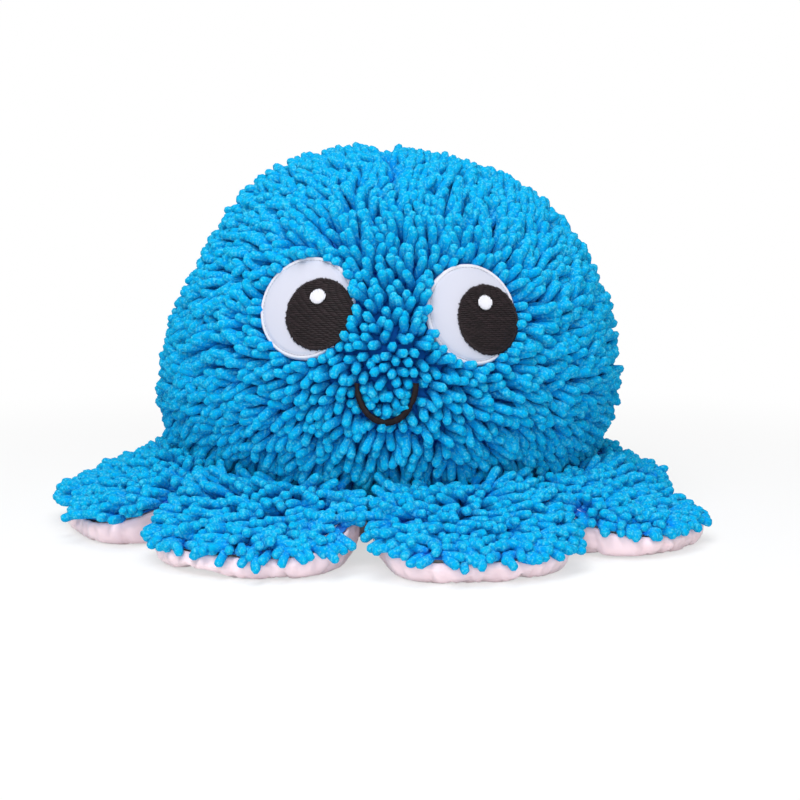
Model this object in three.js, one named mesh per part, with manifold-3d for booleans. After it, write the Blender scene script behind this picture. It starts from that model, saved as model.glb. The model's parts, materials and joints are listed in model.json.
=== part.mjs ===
// A plush octopus: a stuffed dome of blue chenille cloth with an appliqued and embroidered face,
// ringed by eight flat stuffed arms that are chenille above and short pink plush below.
// Millimetres, +Z up, the floor at z = 0, the face looks towards -Y.
import * as THREE from 'three';
import { mergeVertices } from 'three/addons/utils/BufferGeometryUtils.js';
import Module from 'manifold-3d';

const wasm = await Module();
wasm.setup();

// Sizes of the dome. Its pile counts as part of the cloth's thickness.
const domeRadius = 130;
const crownRise = 130;
const waistHeight = 78;
const baseRadius = 74;
const crownFullness = 2.12;
const coverThickness = 10;
const coverHem = 22;
const basePanelThickness = 3;
const seamGap = 0.3;
const cutOverrun = 12;
const domeSegments = 40;
const domeRows = 10;
const goreNames = ['front', 'right', 'back', 'left'];

// Sizes of an arm, from the root seam under the dome to its tip
const armTurns = [-33, 20, 64, 108, 152.5, 197.5, 242.5, 286].map(THREE.MathUtils.degToRad);
const armLengthShares = [1, 0.78, 1, 1, 1, 1, 1, 1];
const armLength = 73;
const armSideGap = 7.7;
const armWidestFromRoot = 34;
const armRootTuck = 8;
const armRootHeight = 33;
const armTipHeight = 12;
const armRootLoft = 1.2;
const armLoft = 14.5;
const armLoftShare = 0.42;
const armPlushThickness = 3;
const armRimWidth = 5;
const armHingeOffset = 1;
const armRootClearance = 0.45;
const armFillingShare = 0.45;
const armFillingClearance = 0.9;
const armFlatShare = 0.6;
const armSwellPower = 2.3;
const armNosePower = 2.2;
const armRootPower = 3;
const armSegments = 20;

// Sizes of the face
const eyeRadius = 29;
const eyeThickness = 2.2;
const eyeRecess = 3.5;
const pupilRadius = 19.5;
const pupilThickness = 1;
const pupilMargin = 0.3;
const pupilGaze = THREE.MathUtils.degToRad(-24.3);
const glintRadius = 4.2;
const glintProud = 0.2;
const glintMargin = 6.1;
const glintTurn = THREE.MathUtils.degToRad(101.3);
const mouthHalfWidth = 15.5;
const mouthDepth = 20;
const mouthEndHeight = 11.5;
const mouthShiftAcross = -1.6;
const mouthThreadWidth = 3;
const mouthThreadThickness = 1.6;
const mouthRecess = 4;
const backingThickness = 0.8;
const backingMargin = 4;
const backingClearance = 1.2;
const dartWidth = 1.2;
const dartDepth = 5;
const eyes = [
  { name: 'left', azimuth: THREE.MathUtils.degToRad(-20.8), elevation: THREE.MathUtils.degToRad(21.9) },
  { name: 'right', azimuth: THREE.MathUtils.degToRad(20), elevation: THREE.MathUtils.degToRad(20.4) },
];
const dartTop = THREE.MathUtils.degToRad(86);
const dartFoot = THREE.MathUtils.degToRad(46);
const mouthSteps = 14;
const dartSteps = 6;
const eyeSegments = 24;
const pupilSegments = 20;
const glintSegments = 10;
const backingSegments = 12;
const patchRingShares = [0.55, 1];

// Sizes of the hand-sewn closing seam in the base panel
const closingLength = 74;
const closingSetBack = 24;
const closingHalfWidth = 2.4;
const closingRecess = 1.5;
const threadRadius = 0.45;
const closingStitches = 10;

// Materials, in the colours of the cloths and threads
const chenille = new THREE.MeshStandardMaterial({ color: 0x0d9ce6, roughness: 0.9, metalness: 0 });
const pinkPlush = new THREE.MeshStandardMaterial({ color: 0xf2d3da, roughness: 0.85, metalness: 0 });
const whiteFelt = new THREE.MeshStandardMaterial({ color: 0xe9e9f3, roughness: 0.8, metalness: 0 });
const blackThread = new THREE.MeshStandardMaterial({ color: 0x1b1516, roughness: 0.55, metalness: 0 });
const whiteThread = new THREE.MeshStandardMaterial({ color: 0xf4f4f6, roughness: 0.5, metalness: 0 });
const pinkThread = new THREE.MeshStandardMaterial({ color: 0xe3b4bf, roughness: 0.6, metalness: 0 });
const fibreFilling = new THREE.MeshStandardMaterial({ color: 0xf5f4ef, roughness: 1, metalness: 0 });
const backingPaper = new THREE.MeshStandardMaterial({ color: 0xe4e4e0, roughness: 0.95, metalness: 0 });

const object = new THREE.Group();

function addMesh(parent, name, geometry, material) {
  geometry.computeVertexNormals();
  const mesh = new THREE.Mesh(geometry, material);
  mesh.name = name;
  parent.add(mesh);
}

// Closed triangle lists. A soup is a flat list of corner points, three for each triangle.
function geometryFromSoup(soup) {
  const geometry = new THREE.BufferGeometry();
  const corners = soup.flatMap((p) => [p.x, p.y, p.z]);
  geometry.setAttribute('position', new THREE.Float32BufferAttribute(corners, 3));
  return mergeVertices(geometry);
}

// Closed solids to and from the boolean library
function toSolid(geometry) {
  const bare = geometry.clone();
  bare.deleteAttribute('normal');
  bare.deleteAttribute('uv');
  const merged = mergeVertices(bare);
  return new wasm.Manifold(new wasm.Mesh({
    numProp: 3,
    vertProperties: new Float32Array(merged.attributes.position.array),
    triVerts: new Uint32Array(merged.index.array),
  }));
}

function toGeometry(solid) {
  const mesh = solid.getMesh();
  const geometry = new THREE.BufferGeometry();
  geometry.setAttribute('position', new THREE.BufferAttribute(new Float32Array(mesh.vertProperties), 3));
  geometry.setIndex(new THREE.BufferAttribute(new Uint32Array(mesh.triVerts), 1));
  return geometry;
}

function cut(geometry, ...tools) {
  return toGeometry(tools.reduce((solid, tool) => solid.subtract(toSolid(tool)), toSolid(geometry)));
}

function fan(soup, centre, ring) {
  ring.forEach((point, i) => soup.push(centre, point, ring[(i + 1) % ring.length]));
}

function band(soup, inner, outer) {
  inner.forEach((point, i) => {
    const next = (i + 1) % inner.length;
    soup.push(point, outer[i], outer[next], point, outer[next], inner[next]);
  });
}

// The solid between two surfaces, each a centre point and rings that run anticlockwise seen from outside.
// Surfaces that share their last ring meet in an edge; otherwise a side wall joins them.
function solidBetween(upper, lower, sharedRim = false) {
  const soup = [];
  fan(soup, upper.centre, upper.rings[0]);
  upper.rings.slice(1).forEach((ring, i) => band(soup, upper.rings[i], ring));
  if (!sharedRim) band(soup, upper.rings.at(-1), lower.rings.at(-1));
  for (let i = lower.rings.length - 1; i > 0; i -= 1) band(soup, lower.rings[i], lower.rings[i - 1]);
  const inside = lower.rings[0];
  inside.forEach((point, i) => soup.push(lower.centre, inside[(i + 1) % inside.length], point));
  return geometryFromSoup(soup);
}

// A tube of given sections, each a ring of points, closed by flat ends
function loft(sections) {
  const soup = [];
  for (let i = 1; i < sections.length; i += 1) band(soup, sections[i], sections[i - 1]);
  const middle = (ring) => ring.reduce((sum, p) => sum.add(p), new THREE.Vector3()).divideScalar(ring.length);
  const last = sections.at(-1);
  fan(soup, middle(last), last);
  fan(soup, middle(sections[0]), [...sections[0]].reverse());
  return geometryFromSoup(soup);
}

// The dome's outline: a full ellipse-like crown above the waist, and below it a plain ellipse that the floor
// cuts off at the base's radius. An inset moves the outline inwards from the tips of the pile.
const undersideDrop = waistHeight / Math.sqrt(1 - (baseRadius / domeRadius) ** 2);

function domeHalfAxis(above, inset) {
  return (above ? crownRise : undersideDrop) - inset;
}

function domePower(above) {
  return above ? crownFullness : 2;
}

function domeRadiusAt(height, inset = 0) {
  const above = height > waistHeight;
  const share = Math.min(1, Math.abs(height - waistHeight) / domeHalfAxis(above, inset));
  return (domeRadius - inset) * (1 - share ** domePower(above)) ** (1 / domePower(above));
}

function domePoint(direction, inset) {
  const d = direction.clone().normalize();
  const power = domePower(d.z > 0);
  const across = Math.hypot(d.x, d.y) / (domeRadius - inset);
  const along = Math.abs(d.z) / domeHalfAxis(d.z > 0, inset);
  const reach = (across ** power + along ** power) ** (-1 / power);
  return d.multiplyScalar(reach).add(new THREE.Vector3(0, 0, waistHeight));
}

function lathe(profile, segments) {
  const geometry = new THREE.LatheGeometry(profile.map(([r, z]) => new THREE.Vector2(r, z)), segments);
  return geometry.rotateX(Math.PI / 2);
}

// Points of the outline from the lowest height up to the crown
function domeProfile(lowest, inset) {
  const start = -Math.asin((waistHeight - lowest) / domeHalfAxis(false, inset));
  return Array.from({ length: domeRows + 1 }, (_, i) => {
    const angle = THREE.MathUtils.lerp(start, Math.PI / 2, i / domeRows);
    const height = waistHeight + domeHalfAxis(angle > 0, inset) * Math.sin(angle);
    return [i === domeRows ? 0 : domeRadiusAt(height, inset), height];
  });
}

// Directions on the dome. The face is centred on -Y; azimuth turns towards +X, elevation towards the crown.
function faceDirection(azimuth, elevation) {
  const flat = Math.cos(elevation);
  return new THREE.Vector3(flat * Math.sin(azimuth), -flat * Math.cos(azimuth), Math.sin(elevation));
}

// A flat place on the dome where across and up are measured in millimetres
function placeOnDome(azimuth, elevation) {
  const outward = faceDirection(azimuth, elevation);
  const across = new THREE.Vector3(Math.cos(azimuth), Math.sin(azimuth), 0);
  return { outward, across, up: outward.clone().cross(across) };
}

function onPlace(place, x, y, inset) {
  const direction = place.outward.clone().multiplyScalar(domeRadius);
  direction.addScaledVector(place.across, x).addScaledVector(place.up, y);
  return domePoint(direction, inset);
}

// A round patch that follows the dome, from one inset to a deeper one
function roundPatch(place, x, y, radius, outerInset, innerInset, segments) {
  const surface = (inset) => ({
    centre: onPlace(place, x, y, inset),
    rings: patchRingShares.map((ringShare) => Array.from({ length: segments }, (_, i) => {
      const angle = (2 * Math.PI * i) / segments;
      const reach = radius * ringShare;
      return onPlace(place, x + reach * Math.cos(angle), y + reach * Math.sin(angle), inset);
    })),
  });
  return solidBetween(surface(outerInset), surface(innerInset));
}

// A ribbon that follows the dome along directions, with a crown that is narrower than its middle
function ribbon(directions, width, crownWidth, outerInset, innerInset) {
  const middleInset = (outerInset + innerInset) / 2;
  const sections = directions.map((direction, i) => {
    const before = domePoint(directions[Math.max(0, i - 1)], middleInset);
    const after = domePoint(directions[Math.min(directions.length - 1, i + 1)], middleInset);
    const sideways = after.sub(before).cross(direction).normalize();
    const corner = (inset, reach) => domePoint(direction, inset).addScaledVector(sideways, reach);
    return [
      corner(outerInset, -crownWidth / 2),
      corner(outerInset, crownWidth / 2),
      corner(middleInset, width / 2),
      corner(innerInset, crownWidth / 2),
      corner(innerInset, -crownWidth / 2),
      corner(middleInset, -width / 2),
    ];
  });
  return loft(sections);
}

function mouthDirections(steps) {
  const place = placeOnDome(0, 0);
  return Array.from({ length: steps + 1 }, (_, i) => {
    const angle = Math.PI * (1 + i / steps);
    const x = mouthShiftAcross + mouthHalfWidth * Math.cos(angle);
    const y = mouthEndHeight + mouthDepth * Math.sin(angle);
    return onPlace(place, x, y, 0).sub(new THREE.Vector3(0, 0, waistHeight));
  });
}

function dartDirections(steps) {
  return Array.from({ length: steps + 1 }, (_, i) => (
    faceDirection(0, THREE.MathUtils.lerp(dartTop, dartFoot, i / steps))
  ));
}

// The chenille cover: four gores that meet at the crown.
// The front one is cut for the eyes, the mouth and a dart.
const eyeFloor = eyeRecess + eyeThickness;
const mouthFloor = mouthRecess + mouthThreadThickness;
const eyePlaces = eyes.map((eye) => placeOnDome(eye.azimuth, eye.elevation));

function faceCuts() {
  const eyeCuts = eyePlaces.map((place) => (
    roundPatch(place, 0, 0, eyeRadius + seamGap, -cutOverrun, eyeFloor + seamGap, eyeSegments)
  ));
  const channelWidth = mouthThreadWidth + 2 * seamGap;
  const channelFloor = mouthFloor + seamGap;
  const channel = ribbon(mouthDirections(mouthSteps), channelWidth, channelWidth, -cutOverrun, channelFloor);
  const dart = ribbon(dartDirections(dartSteps), dartWidth, dartWidth, -cutOverrun, dartDepth);
  return [...eyeCuts, channel, dart];
}

function addGores() {
  const outer = domeProfile(coverHem, 0);
  const inner = domeProfile(coverHem, coverThickness);
  const shell = toSolid(lathe([...outer, ...inner.reverse(), outer[0]], domeSegments));
  const reach = domeRadius + cutOverrun;
  goreNames.forEach((name, i) => {
    const quarter = new THREE.BoxGeometry(reach, reach, 2 * (waistHeight + crownRise + cutOverrun));
    quarter.translate((reach + seamGap) / 2, (reach + seamGap) / 2, 0);
    quarter.rotateZ(((2 * i - 3) * Math.PI) / goreNames.length);
    const gore = toGeometry(shell.intersect(toSolid(quarter)));
    addMesh(object, `${name}_gore`, name === 'front' ? cut(gore, ...faceCuts()) : gore, chenille);
  });
}

// The base panel closes the dome below, flat on the floor and curving up to the cover's hem
function addBasePanel() {
  const rim = coverHem - seamGap;
  const shares = [0, 0.2, 0.5, 1];
  const outer = shares.map((share) => [domeRadiusAt(rim * share), rim * share]);
  const inner = shares.map((share) => {
    const height = basePanelThickness + (rim - basePanelThickness) * share;
    return [domeRadiusAt(height, basePanelThickness), height];
  });
  const shell = lathe([[0, 0], ...outer, ...inner.reverse(), [0, basePanelThickness]], domeSegments);
  const recess = new THREE.BoxGeometry(closingLength, 2 * closingHalfWidth, 2 * closingRecess);
  recess.translate(0, closingSetBack, 0);
  addMesh(object, 'base_panel', cut(shell, recess), pinkPlush);
}

// The closing seam: one thread that crosses the seam from side to side, inside its shallow recess
function addClosingStitches() {
  const run = closingLength - 4 * threadRadius;
  const swing = closingHalfWidth - 2 * threadRadius;
  const height = closingRecess - seamGap - threadRadius;
  const sides = 6;
  const sections = Array.from({ length: 2 * closingStitches + 1 }, (_, i) => {
    const x = run * (i / (2 * closingStitches) - 1 / 2);
    const y = closingSetBack + swing * (i % 2 ? 1 : -1);
    return Array.from({ length: sides }, (__, side) => {
      const angle = (2 * Math.PI * side) / sides;
      const across = y + threadRadius * Math.cos(angle);
      return new THREE.Vector3(x, across, height + threadRadius * Math.sin(angle));
    });
  });
  addMesh(object, 'closing_stitches', loft(sections), pinkThread);
}

// The fibre filling of the dome, in the space that the cover and the base panel leave
function addBodyFilling() {
  const backingInset = coverThickness + backingClearance;
  const backingFloor = backingInset + backingThickness;
  const upper = domeProfile(coverHem - seamGap, coverThickness + seamGap);
  const baseInset = basePanelThickness + seamGap;
  const shares = [0, 0.3, 1];
  const lower = shares.map((share) => {
    const height = THREE.MathUtils.lerp(baseInset, coverHem - 2 * seamGap, share);
    return [domeRadiusAt(height, baseInset + seamGap), height];
  });
  const filling = lathe([[0, baseInset], ...lower, ...upper], domeSegments);
  const mouthReach = mouthHalfWidth + backingMargin;
  const eyeReach = eyeRadius + backingMargin;
  const mouthMiddle = mouthEndHeight - mouthDepth / 2;
  const patches = eyes.map((eye, i) => (
    { name: `${eye.name}_eye`, place: eyePlaces[i], x: 0, y: 0, reach: eyeReach }
  ));
  patches.push(
    { name: 'mouth', place: placeOnDome(0, 0), x: mouthShiftAcross, y: mouthMiddle, reach: mouthReach },
  );
  const pockets = patches.map(({ place, x, y, reach }) => (
    roundPatch(place, x, y, reach + seamGap, 0, backingFloor + seamGap, backingSegments)
  ));
  addMesh(object, 'body_filling', cut(filling, ...pockets), fibreFilling);
  patches.forEach(({ name, place, x, y, reach }) => {
    const backing = roundPatch(place, x, y, reach, backingInset, backingFloor, backingSegments);
    addMesh(object, `${name}_backing`, backing, backingPaper);
  });
}

// Each eye is a felt disc with an embroidered pupil on it, and a glint in a hole of the pupil
function addEyes() {
  const gazeShift = eyeRadius - pupilRadius - pupilMargin;
  const pupilX = gazeShift * Math.cos(pupilGaze);
  const pupilY = gazeShift * Math.sin(pupilGaze);
  const glintShift = pupilRadius - glintRadius - glintMargin;
  const glintX = pupilX + glintShift * Math.cos(glintTurn);
  const glintY = pupilY + glintShift * Math.sin(glintTurn);
  const foot = eyeRecess - seamGap;
  const top = foot - pupilThickness;
  eyes.forEach((eye, i) => {
    const place = eyePlaces[i];
    const felt = roundPatch(place, 0, 0, eyeRadius, eyeRecess, eyeFloor, eyeSegments);
    const disc = roundPatch(place, pupilX, pupilY, pupilRadius, top, foot, pupilSegments);
    const hole = roundPatch(
      place, glintX, glintY, glintRadius + seamGap, top - cutOverrun, foot + cutOverrun, glintSegments,
    );
    const glint = roundPatch(place, glintX, glintY, glintRadius, top - glintProud, foot, glintSegments);
    addMesh(object, `${eye.name}_eye_white`, felt, whiteFelt);
    addMesh(object, `${eye.name}_pupil`, cut(disc, hole), blackThread);
    addMesh(object, `${eye.name}_glint`, glint, whiteThread);
  });
}

function addMouth() {
  const thread = ribbon(
    mouthDirections(mouthSteps), mouthThreadWidth, mouthThreadWidth / 2, mouthRecess, mouthFloor,
  );
  addMesh(object, 'mouth', thread, blackThread);
}

// An arm's plan outline is an oval whose root is cut hollow, along the dome that it is sewn to.
// It is measured from the hinge line, outwards along x. The arms are sewn on by hand, so the ring isn't quite
// even: at its widest an arm nearly fills what its nearer neighbour leaves it.
const armHingeRadius = domeRadiusAt(armRootHeight) + armRootClearance + armHingeOffset;
const armRootX = -armHingeOffset;

function turnBetween(first, second) {
  const turn = Math.abs(armTurns[first] - armTurns[second]) % (2 * Math.PI);
  return Math.min(turn, 2 * Math.PI - turn);
}

function armShape(i) {
  const count = armTurns.length;
  const length = armLength * armLengthShares[i];
  const widestFromRoot = armWidestFromRoot * armLengthShares[i];
  const widestX = armRootX + widestFromRoot;
  const nearerTurn = Math.min(turnBetween(i, (i + 1) % count), turnBetween(i, (i + count - 1) % count));
  const halfWidth = (armHingeRadius + widestX) * Math.tan(nearerTurn / 2) - armSideGap;
  return { length, widestFromRoot, widestX, halfWidth };
}

function armRootEdge(y) {
  return armRootX + Math.sqrt(domeRadius ** 2 - y ** 2) - domeRadius;
}

function armOutline(shape, inset) {
  return Array.from({ length: armSegments }, (_, i) => {
    const angle = (2 * Math.PI * i) / armSegments;
    const c = Math.cos(angle);
    const s = Math.sin(angle);
    const power = c > 0 ? armNosePower : armRootPower;
    const toNose = shape.length - shape.widestFromRoot;
    const halfLength = (c > 0 ? toNose : shape.widestFromRoot + armRootTuck) - inset;
    const y = (shape.halfWidth - inset) * Math.sign(s) * Math.abs(s) ** (2 / power);
    const x = shape.widestX + halfLength * Math.sign(c) * Math.abs(c) ** (2 / power);
    return { x: Math.max(x, armRootEdge(y) + inset), y };
  });
}

// The seam between the two cloths runs straight down from the root to the tip
function armSeamHeight(shape, x) {
  return THREE.MathUtils.lerp(armRootHeight, armTipHeight, (x - armRootX) / shape.length);
}

// How far the chenille stands above the seam, before it falls to the rim
function armLoftAt(shape, x) {
  const rise = Math.min(1, Math.max(0, x - armRootX) / (shape.length * armLoftShare));
  return THREE.MathUtils.lerp(armRootLoft, armLoft, Math.sin((rise * Math.PI) / 2));
}

function armSurface(shape, outline, ringShares, heightAt) {
  const at = (x, y, share) => new THREE.Vector3(x, y, heightAt(x, share));
  return {
    centre: at(shape.widestX, 0, 0),
    rings: ringShares.map((share) => (
      outline.map((p) => at(shape.widestX + (p.x - shape.widestX) * share, p.y * share, share))
    )),
  };
}

function swell(share) {
  return (1 - Math.min(1, share) ** armSwellPower) ** (1 / armSwellPower);
}

function sole(share) {
  const beyond = Math.max(0, (share - armFlatShare) / (1 - armFlatShare));
  return Math.sqrt(Math.max(0, 1 - beyond ** 2));
}

// Shares of the outline at which the rings of a surface lie, closer together near its rim
function ringShares(count) {
  return Array.from({ length: count }, (_, i) => Math.sin((Math.PI / 2) * ((i + 1) / count)));
}

// Chenille top, pink underside and fibre filling of one arm, in the arm's own frame
function armGeometries(shape) {
  const soleShares = [armFlatShare, 0.86, 0.97, 1];
  const cavityShares = [armFlatShare, 0.92, 1];
  const half = seamGap / 2;
  const seam = (x) => armSeamHeight(shape, x);
  const loft = (x) => armLoftAt(shape, x);
  const outline = armOutline(shape, 0);
  const inner = armOutline(shape, armRimWidth);
  const stuffed = armOutline(shape, armRimWidth + armFillingClearance);
  const top = armSurface(shape, outline, ringShares(4), (x, share) => seam(x) + half + loft(x) * swell(share));
  const topInside = armSurface(shape, inner, ringShares(2), (x, share) => (
    seam(x) + half + armFillingShare * loft(x) * swell(share)
  ));
  const bottom = armSurface(shape, outline, soleShares, (x, share) => (seam(x) - half) * (1 - sole(share)));
  const bottomInside = armSurface(shape, inner, cavityShares, (x, share) => (
    THREE.MathUtils.lerp(seam(x) - half, armPlushThickness, sole(share))
  ));
  const fillingTop = armSurface(shape, stuffed, ringShares(2), (x, share) => (
    seam(x) + (armFillingShare * loft(x) - armFillingClearance) * swell(share)
  ));
  const fillingBottom = armSurface(shape, stuffed, cavityShares, (x, share) => (
    THREE.MathUtils.lerp(seam(x), armPlushThickness + armFillingClearance, sole(share))
  ));
  return {
    top: solidBetween(top, topInside),
    underside: solidBetween(bottomInside, bottom),
    filling: solidBetween(fillingTop, fillingBottom, true),
  };
}

function addArms() {
  armTurns.forEach((yaw, i) => {
    const { top, underside, filling } = armGeometries(armShape(i));
    const arm = new THREE.Group();
    arm.position.set(armHingeRadius * Math.cos(yaw), armHingeRadius * Math.sin(yaw), 0);
    arm.rotation.z = yaw;
    addMesh(arm, `arm_${i + 1}_top`, top, chenille);
    addMesh(arm, `arm_${i + 1}_underside`, underside, pinkPlush);
    addMesh(arm, `arm_${i + 1}_filling`, filling, fibreFilling);
    object.add(arm);
  });
}

addGores();
addBasePanel();
addClosingStitches();
addBodyFilling();
addEyes();
addMouth();
addArms();

export default object;
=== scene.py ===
# %% [markdown]
# # A plush octopus in chenille and pink plush
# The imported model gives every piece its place: a domed body, eight flat arms that are hinged on it, and a
# sewn face. Here each cloth gets its surface. The thick blue pile is the hard part: it is made of thousands
# of soft noodles, so Geometry Nodes grow it from the cloth, and plain Python shapes the cloth itself.

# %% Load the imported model
import json
import math
from contextlib import contextmanager

import bmesh
import bpy
import numpy as np
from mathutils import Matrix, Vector, noise


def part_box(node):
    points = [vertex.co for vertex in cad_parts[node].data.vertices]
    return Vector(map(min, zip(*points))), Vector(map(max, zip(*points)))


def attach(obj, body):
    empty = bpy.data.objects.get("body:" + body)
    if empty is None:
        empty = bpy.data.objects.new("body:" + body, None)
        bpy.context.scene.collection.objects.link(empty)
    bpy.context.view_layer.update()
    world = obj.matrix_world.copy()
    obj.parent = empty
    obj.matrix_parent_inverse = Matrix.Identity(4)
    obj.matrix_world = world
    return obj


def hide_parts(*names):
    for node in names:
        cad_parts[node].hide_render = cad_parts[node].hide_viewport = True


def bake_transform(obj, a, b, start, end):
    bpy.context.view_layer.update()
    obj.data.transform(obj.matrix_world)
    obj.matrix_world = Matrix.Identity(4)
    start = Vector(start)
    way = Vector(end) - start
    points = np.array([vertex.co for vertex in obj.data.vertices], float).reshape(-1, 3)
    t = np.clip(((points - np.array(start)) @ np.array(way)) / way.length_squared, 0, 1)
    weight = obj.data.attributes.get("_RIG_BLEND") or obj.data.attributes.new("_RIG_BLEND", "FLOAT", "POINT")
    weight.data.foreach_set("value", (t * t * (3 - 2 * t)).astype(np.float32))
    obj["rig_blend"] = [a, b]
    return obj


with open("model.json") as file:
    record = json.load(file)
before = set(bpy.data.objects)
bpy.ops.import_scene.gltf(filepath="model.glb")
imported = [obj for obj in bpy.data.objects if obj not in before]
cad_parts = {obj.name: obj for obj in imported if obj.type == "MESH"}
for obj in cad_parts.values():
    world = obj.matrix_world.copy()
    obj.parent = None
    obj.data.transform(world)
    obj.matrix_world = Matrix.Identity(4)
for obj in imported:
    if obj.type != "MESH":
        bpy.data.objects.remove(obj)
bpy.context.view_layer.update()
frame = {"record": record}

# %% [markdown]
# ## The camera
# The toy was photographed with a long lens from just above its own height. The camera aims at a point on the
# toy's axis, and a small shift puts that point where the photo has it.

# %% Camera
MM = 0.001
IMAGE_SIDE = 800
AIM_HEIGHT = 85 * MM
CAMERA_DISTANCE = 1.0
CAMERA_ELEVATION = math.radians(6.49)
FOCAL_LENGTH_PX = 1770
AIM_PX = (389.5, 362.8)
SENSOR_WIDTH = 36
NEAREST_SEEN = 0.05


def add_camera():
    data = bpy.data.cameras.new("camera")
    data.sensor_width = SENSOR_WIDTH
    data.lens = FOCAL_LENGTH_PX / IMAGE_SIDE * SENSOR_WIDTH
    data.shift_x = (IMAGE_SIDE / 2 - AIM_PX[0]) / IMAGE_SIDE
    data.shift_y = (AIM_PX[1] - IMAGE_SIDE / 2) / IMAGE_SIDE
    data.clip_start = NEAREST_SEEN
    camera = bpy.data.objects.new("camera", data)
    towards = Vector((0, -math.cos(CAMERA_ELEVATION), math.sin(CAMERA_ELEVATION)))
    camera.location = Vector((0, 0, AIM_HEIGHT)) + CAMERA_DISTANCE * towards
    camera.rotation_euler = towards.to_track_quat("Z", "Y").to_euler()
    bpy.context.scene.collection.objects.link(camera)
    bpy.context.scene.camera = camera
    return camera


print("lens:", round(add_camera().data.lens, 1), "mm")

# %% [markdown]
# ## Node trees as expressions
# Materials and Geometry Nodes are both graphs of nodes. The small class below wraps one output socket, so
# that sums can be written as Python expressions. One method adds every other kind of node.


# %% A graph that reads as code
class Value:
    """An output socket. Arithmetic on it adds Math nodes to its graph."""

    def __init__(self, graph, socket):
        self.graph = graph
        self.socket = socket

    def __add__(self, other):
        return self.graph.math("ADD", self, other)

    def __sub__(self, other):
        return self.graph.math("SUBTRACT", self, other)

    def __rsub__(self, other):
        return self.graph.math("SUBTRACT", other, self)

    def __mul__(self, other):
        return self.graph.math("MULTIPLY", self, other)

    def __truediv__(self, other):
        return self.graph.math("DIVIDE", self, other)

    def __pow__(self, other):
        return self.graph.math("POWER", self, other)

    __radd__ = __add__
    __rmul__ = __mul__


class Graph:
    """A node tree. node() adds any node: its type, its settings, then the values or links of its sockets."""

    def __init__(self, tree):
        self.tree = tree

    def node(self, kind, settings=None, values=None):
        made = self.tree.nodes.new(kind)
        for name, value in (settings or {}).items():
            setattr(made, name, value)
        for key, value in (values or {}).items():
            if isinstance(value, Value):
                self.tree.links.new(value.socket, made.inputs[key])
            else:
                made.inputs[key].default_value = value
        outputs = {}
        for number, socket in enumerate(made.outputs):
            outputs[number] = Value(self, socket)
            outputs.setdefault(socket.name, outputs[number])
        return outputs

    def math(self, operation, *operands):
        return self.node("ShaderNodeMath", {"operation": operation}, dict(enumerate(operands)))[0]

    def vector(self, operation, *operands, scale=None):
        values = dict(enumerate(operands))
        if scale is not None:
            values["Scale"] = scale
        outputs = self.node("ShaderNodeVectorMath", {"operation": operation}, values)
        return outputs["Value"] if operation in ("DOT_PRODUCT", "LENGTH") else outputs["Vector"]

    def clamp(self, value):
        return self.math("MINIMUM", self.math("MAXIMUM", value, 0.0), 1.0)

    def blend_colours(self, factor, first, second):
        return self.node("ShaderNodeMix", {"data_type": "RGBA"}, {0: factor, 6: first, 7: second})[2]


print("graph helpers ready")

# %% [markdown]
# ## The cloths and threads
# Chenille is a yarn with a soft velvety skin, so it has a strong sheen and a fine grain. The pink plush is a
# short brushed pile, smooth from a step away. Embroidery thread is smoother and shines a little.
# Each noodle of the pile carries two numbers, its own tint and how far along it a point lies. The chenille
# material paints shade by the second, darker towards each noodle's root, and the first lifts the pale
# painted highlights on its grain.

# %% Material helpers
WHITE = (1, 1, 1, 1)
THREAD_GLOSS = 0.16
CLOTH_GLOSS = 0.25


def new_material(name, roughness, sheen, gloss=CLOTH_GLOSS, sheen_roughness=0.4, sheen_tint=WHITE):
    material = bpy.data.materials.new(name)
    material.use_nodes = True
    shader = material.node_tree.nodes["Principled BSDF"]
    settings = {
        "Roughness": roughness,
        "Sheen Weight": sheen,
        "Sheen Roughness": sheen_roughness,
        "Sheen Tint": sheen_tint,
        "Specular IOR Level": gloss,
    }
    for socket, value in settings.items():
        shader.inputs[socket].default_value = value
    return material, Graph(material.node_tree), shader


def feed(graph, shader, socket, value):
    graph.tree.links.new(value.socket, shader.inputs[socket])


def point_value(graph, name):
    """A number that the piece's points carry."""
    return graph.node("ShaderNodeAttribute", {"attribute_name": name})["Fac"]


def object_noise(graph, scale, detail=2.0, roughness=0.5):
    place = graph.node("ShaderNodeTexCoord")["Object"]
    values = {"Vector": place, "Scale": scale, "Detail": detail, "Roughness": roughness}
    return graph.node("ShaderNodeTexNoise", None, values)["Fac"]


def feed_bump(graph, shader, height, distance, strength=0.5):
    values = {"Height": height, "Distance": distance, "Strength": strength}
    feed(graph, shader, "Normal", graph.node("ShaderNodeBump", None, values)["Normal"])


print("material helpers ready")

# %% Chenille
# The chenille's colour at a noodle's tip, and a darker one at its root that is painted shade.
CHENILLE_TIP = (0.0, 0.42, 0.69, 1)
CHENILLE_SHADED_ROOT = (0.0, 0.17, 0.76, 1)
# Pale painted highlights for the grain's peaks.
CHENILLE_PAINTED_HIGHLIGHT = (0.12, 0.64, 0.86, 1)
# Painted shade for the grain's hollows: a deeper blue.
CHENILLE_HOLLOW_SHADE = (0.0, 0.27, 0.86, 1)
CHENILLE_SHEEN = (0.03, 0.55, 0.9, 1)
CHENILLE_GLOSS = 0.08
GRAIN_SCALE = 780
GRAIN_DEPTH = 0.9 * MM
GRAIN_CONTRAST = 5.0
FUZZ_SCALE = 2600
PEAKS_START = 0.53
HOLLOWS_START = 0.5
ROOT_SHADE_EASE = 0.7
TINT_SHARE = 0.2
HIGHLIGHT_SHARE = 0.64
HOLLOW_SHADE_SHARE = 0.5
FUZZ_SHARE = 0.3


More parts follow.
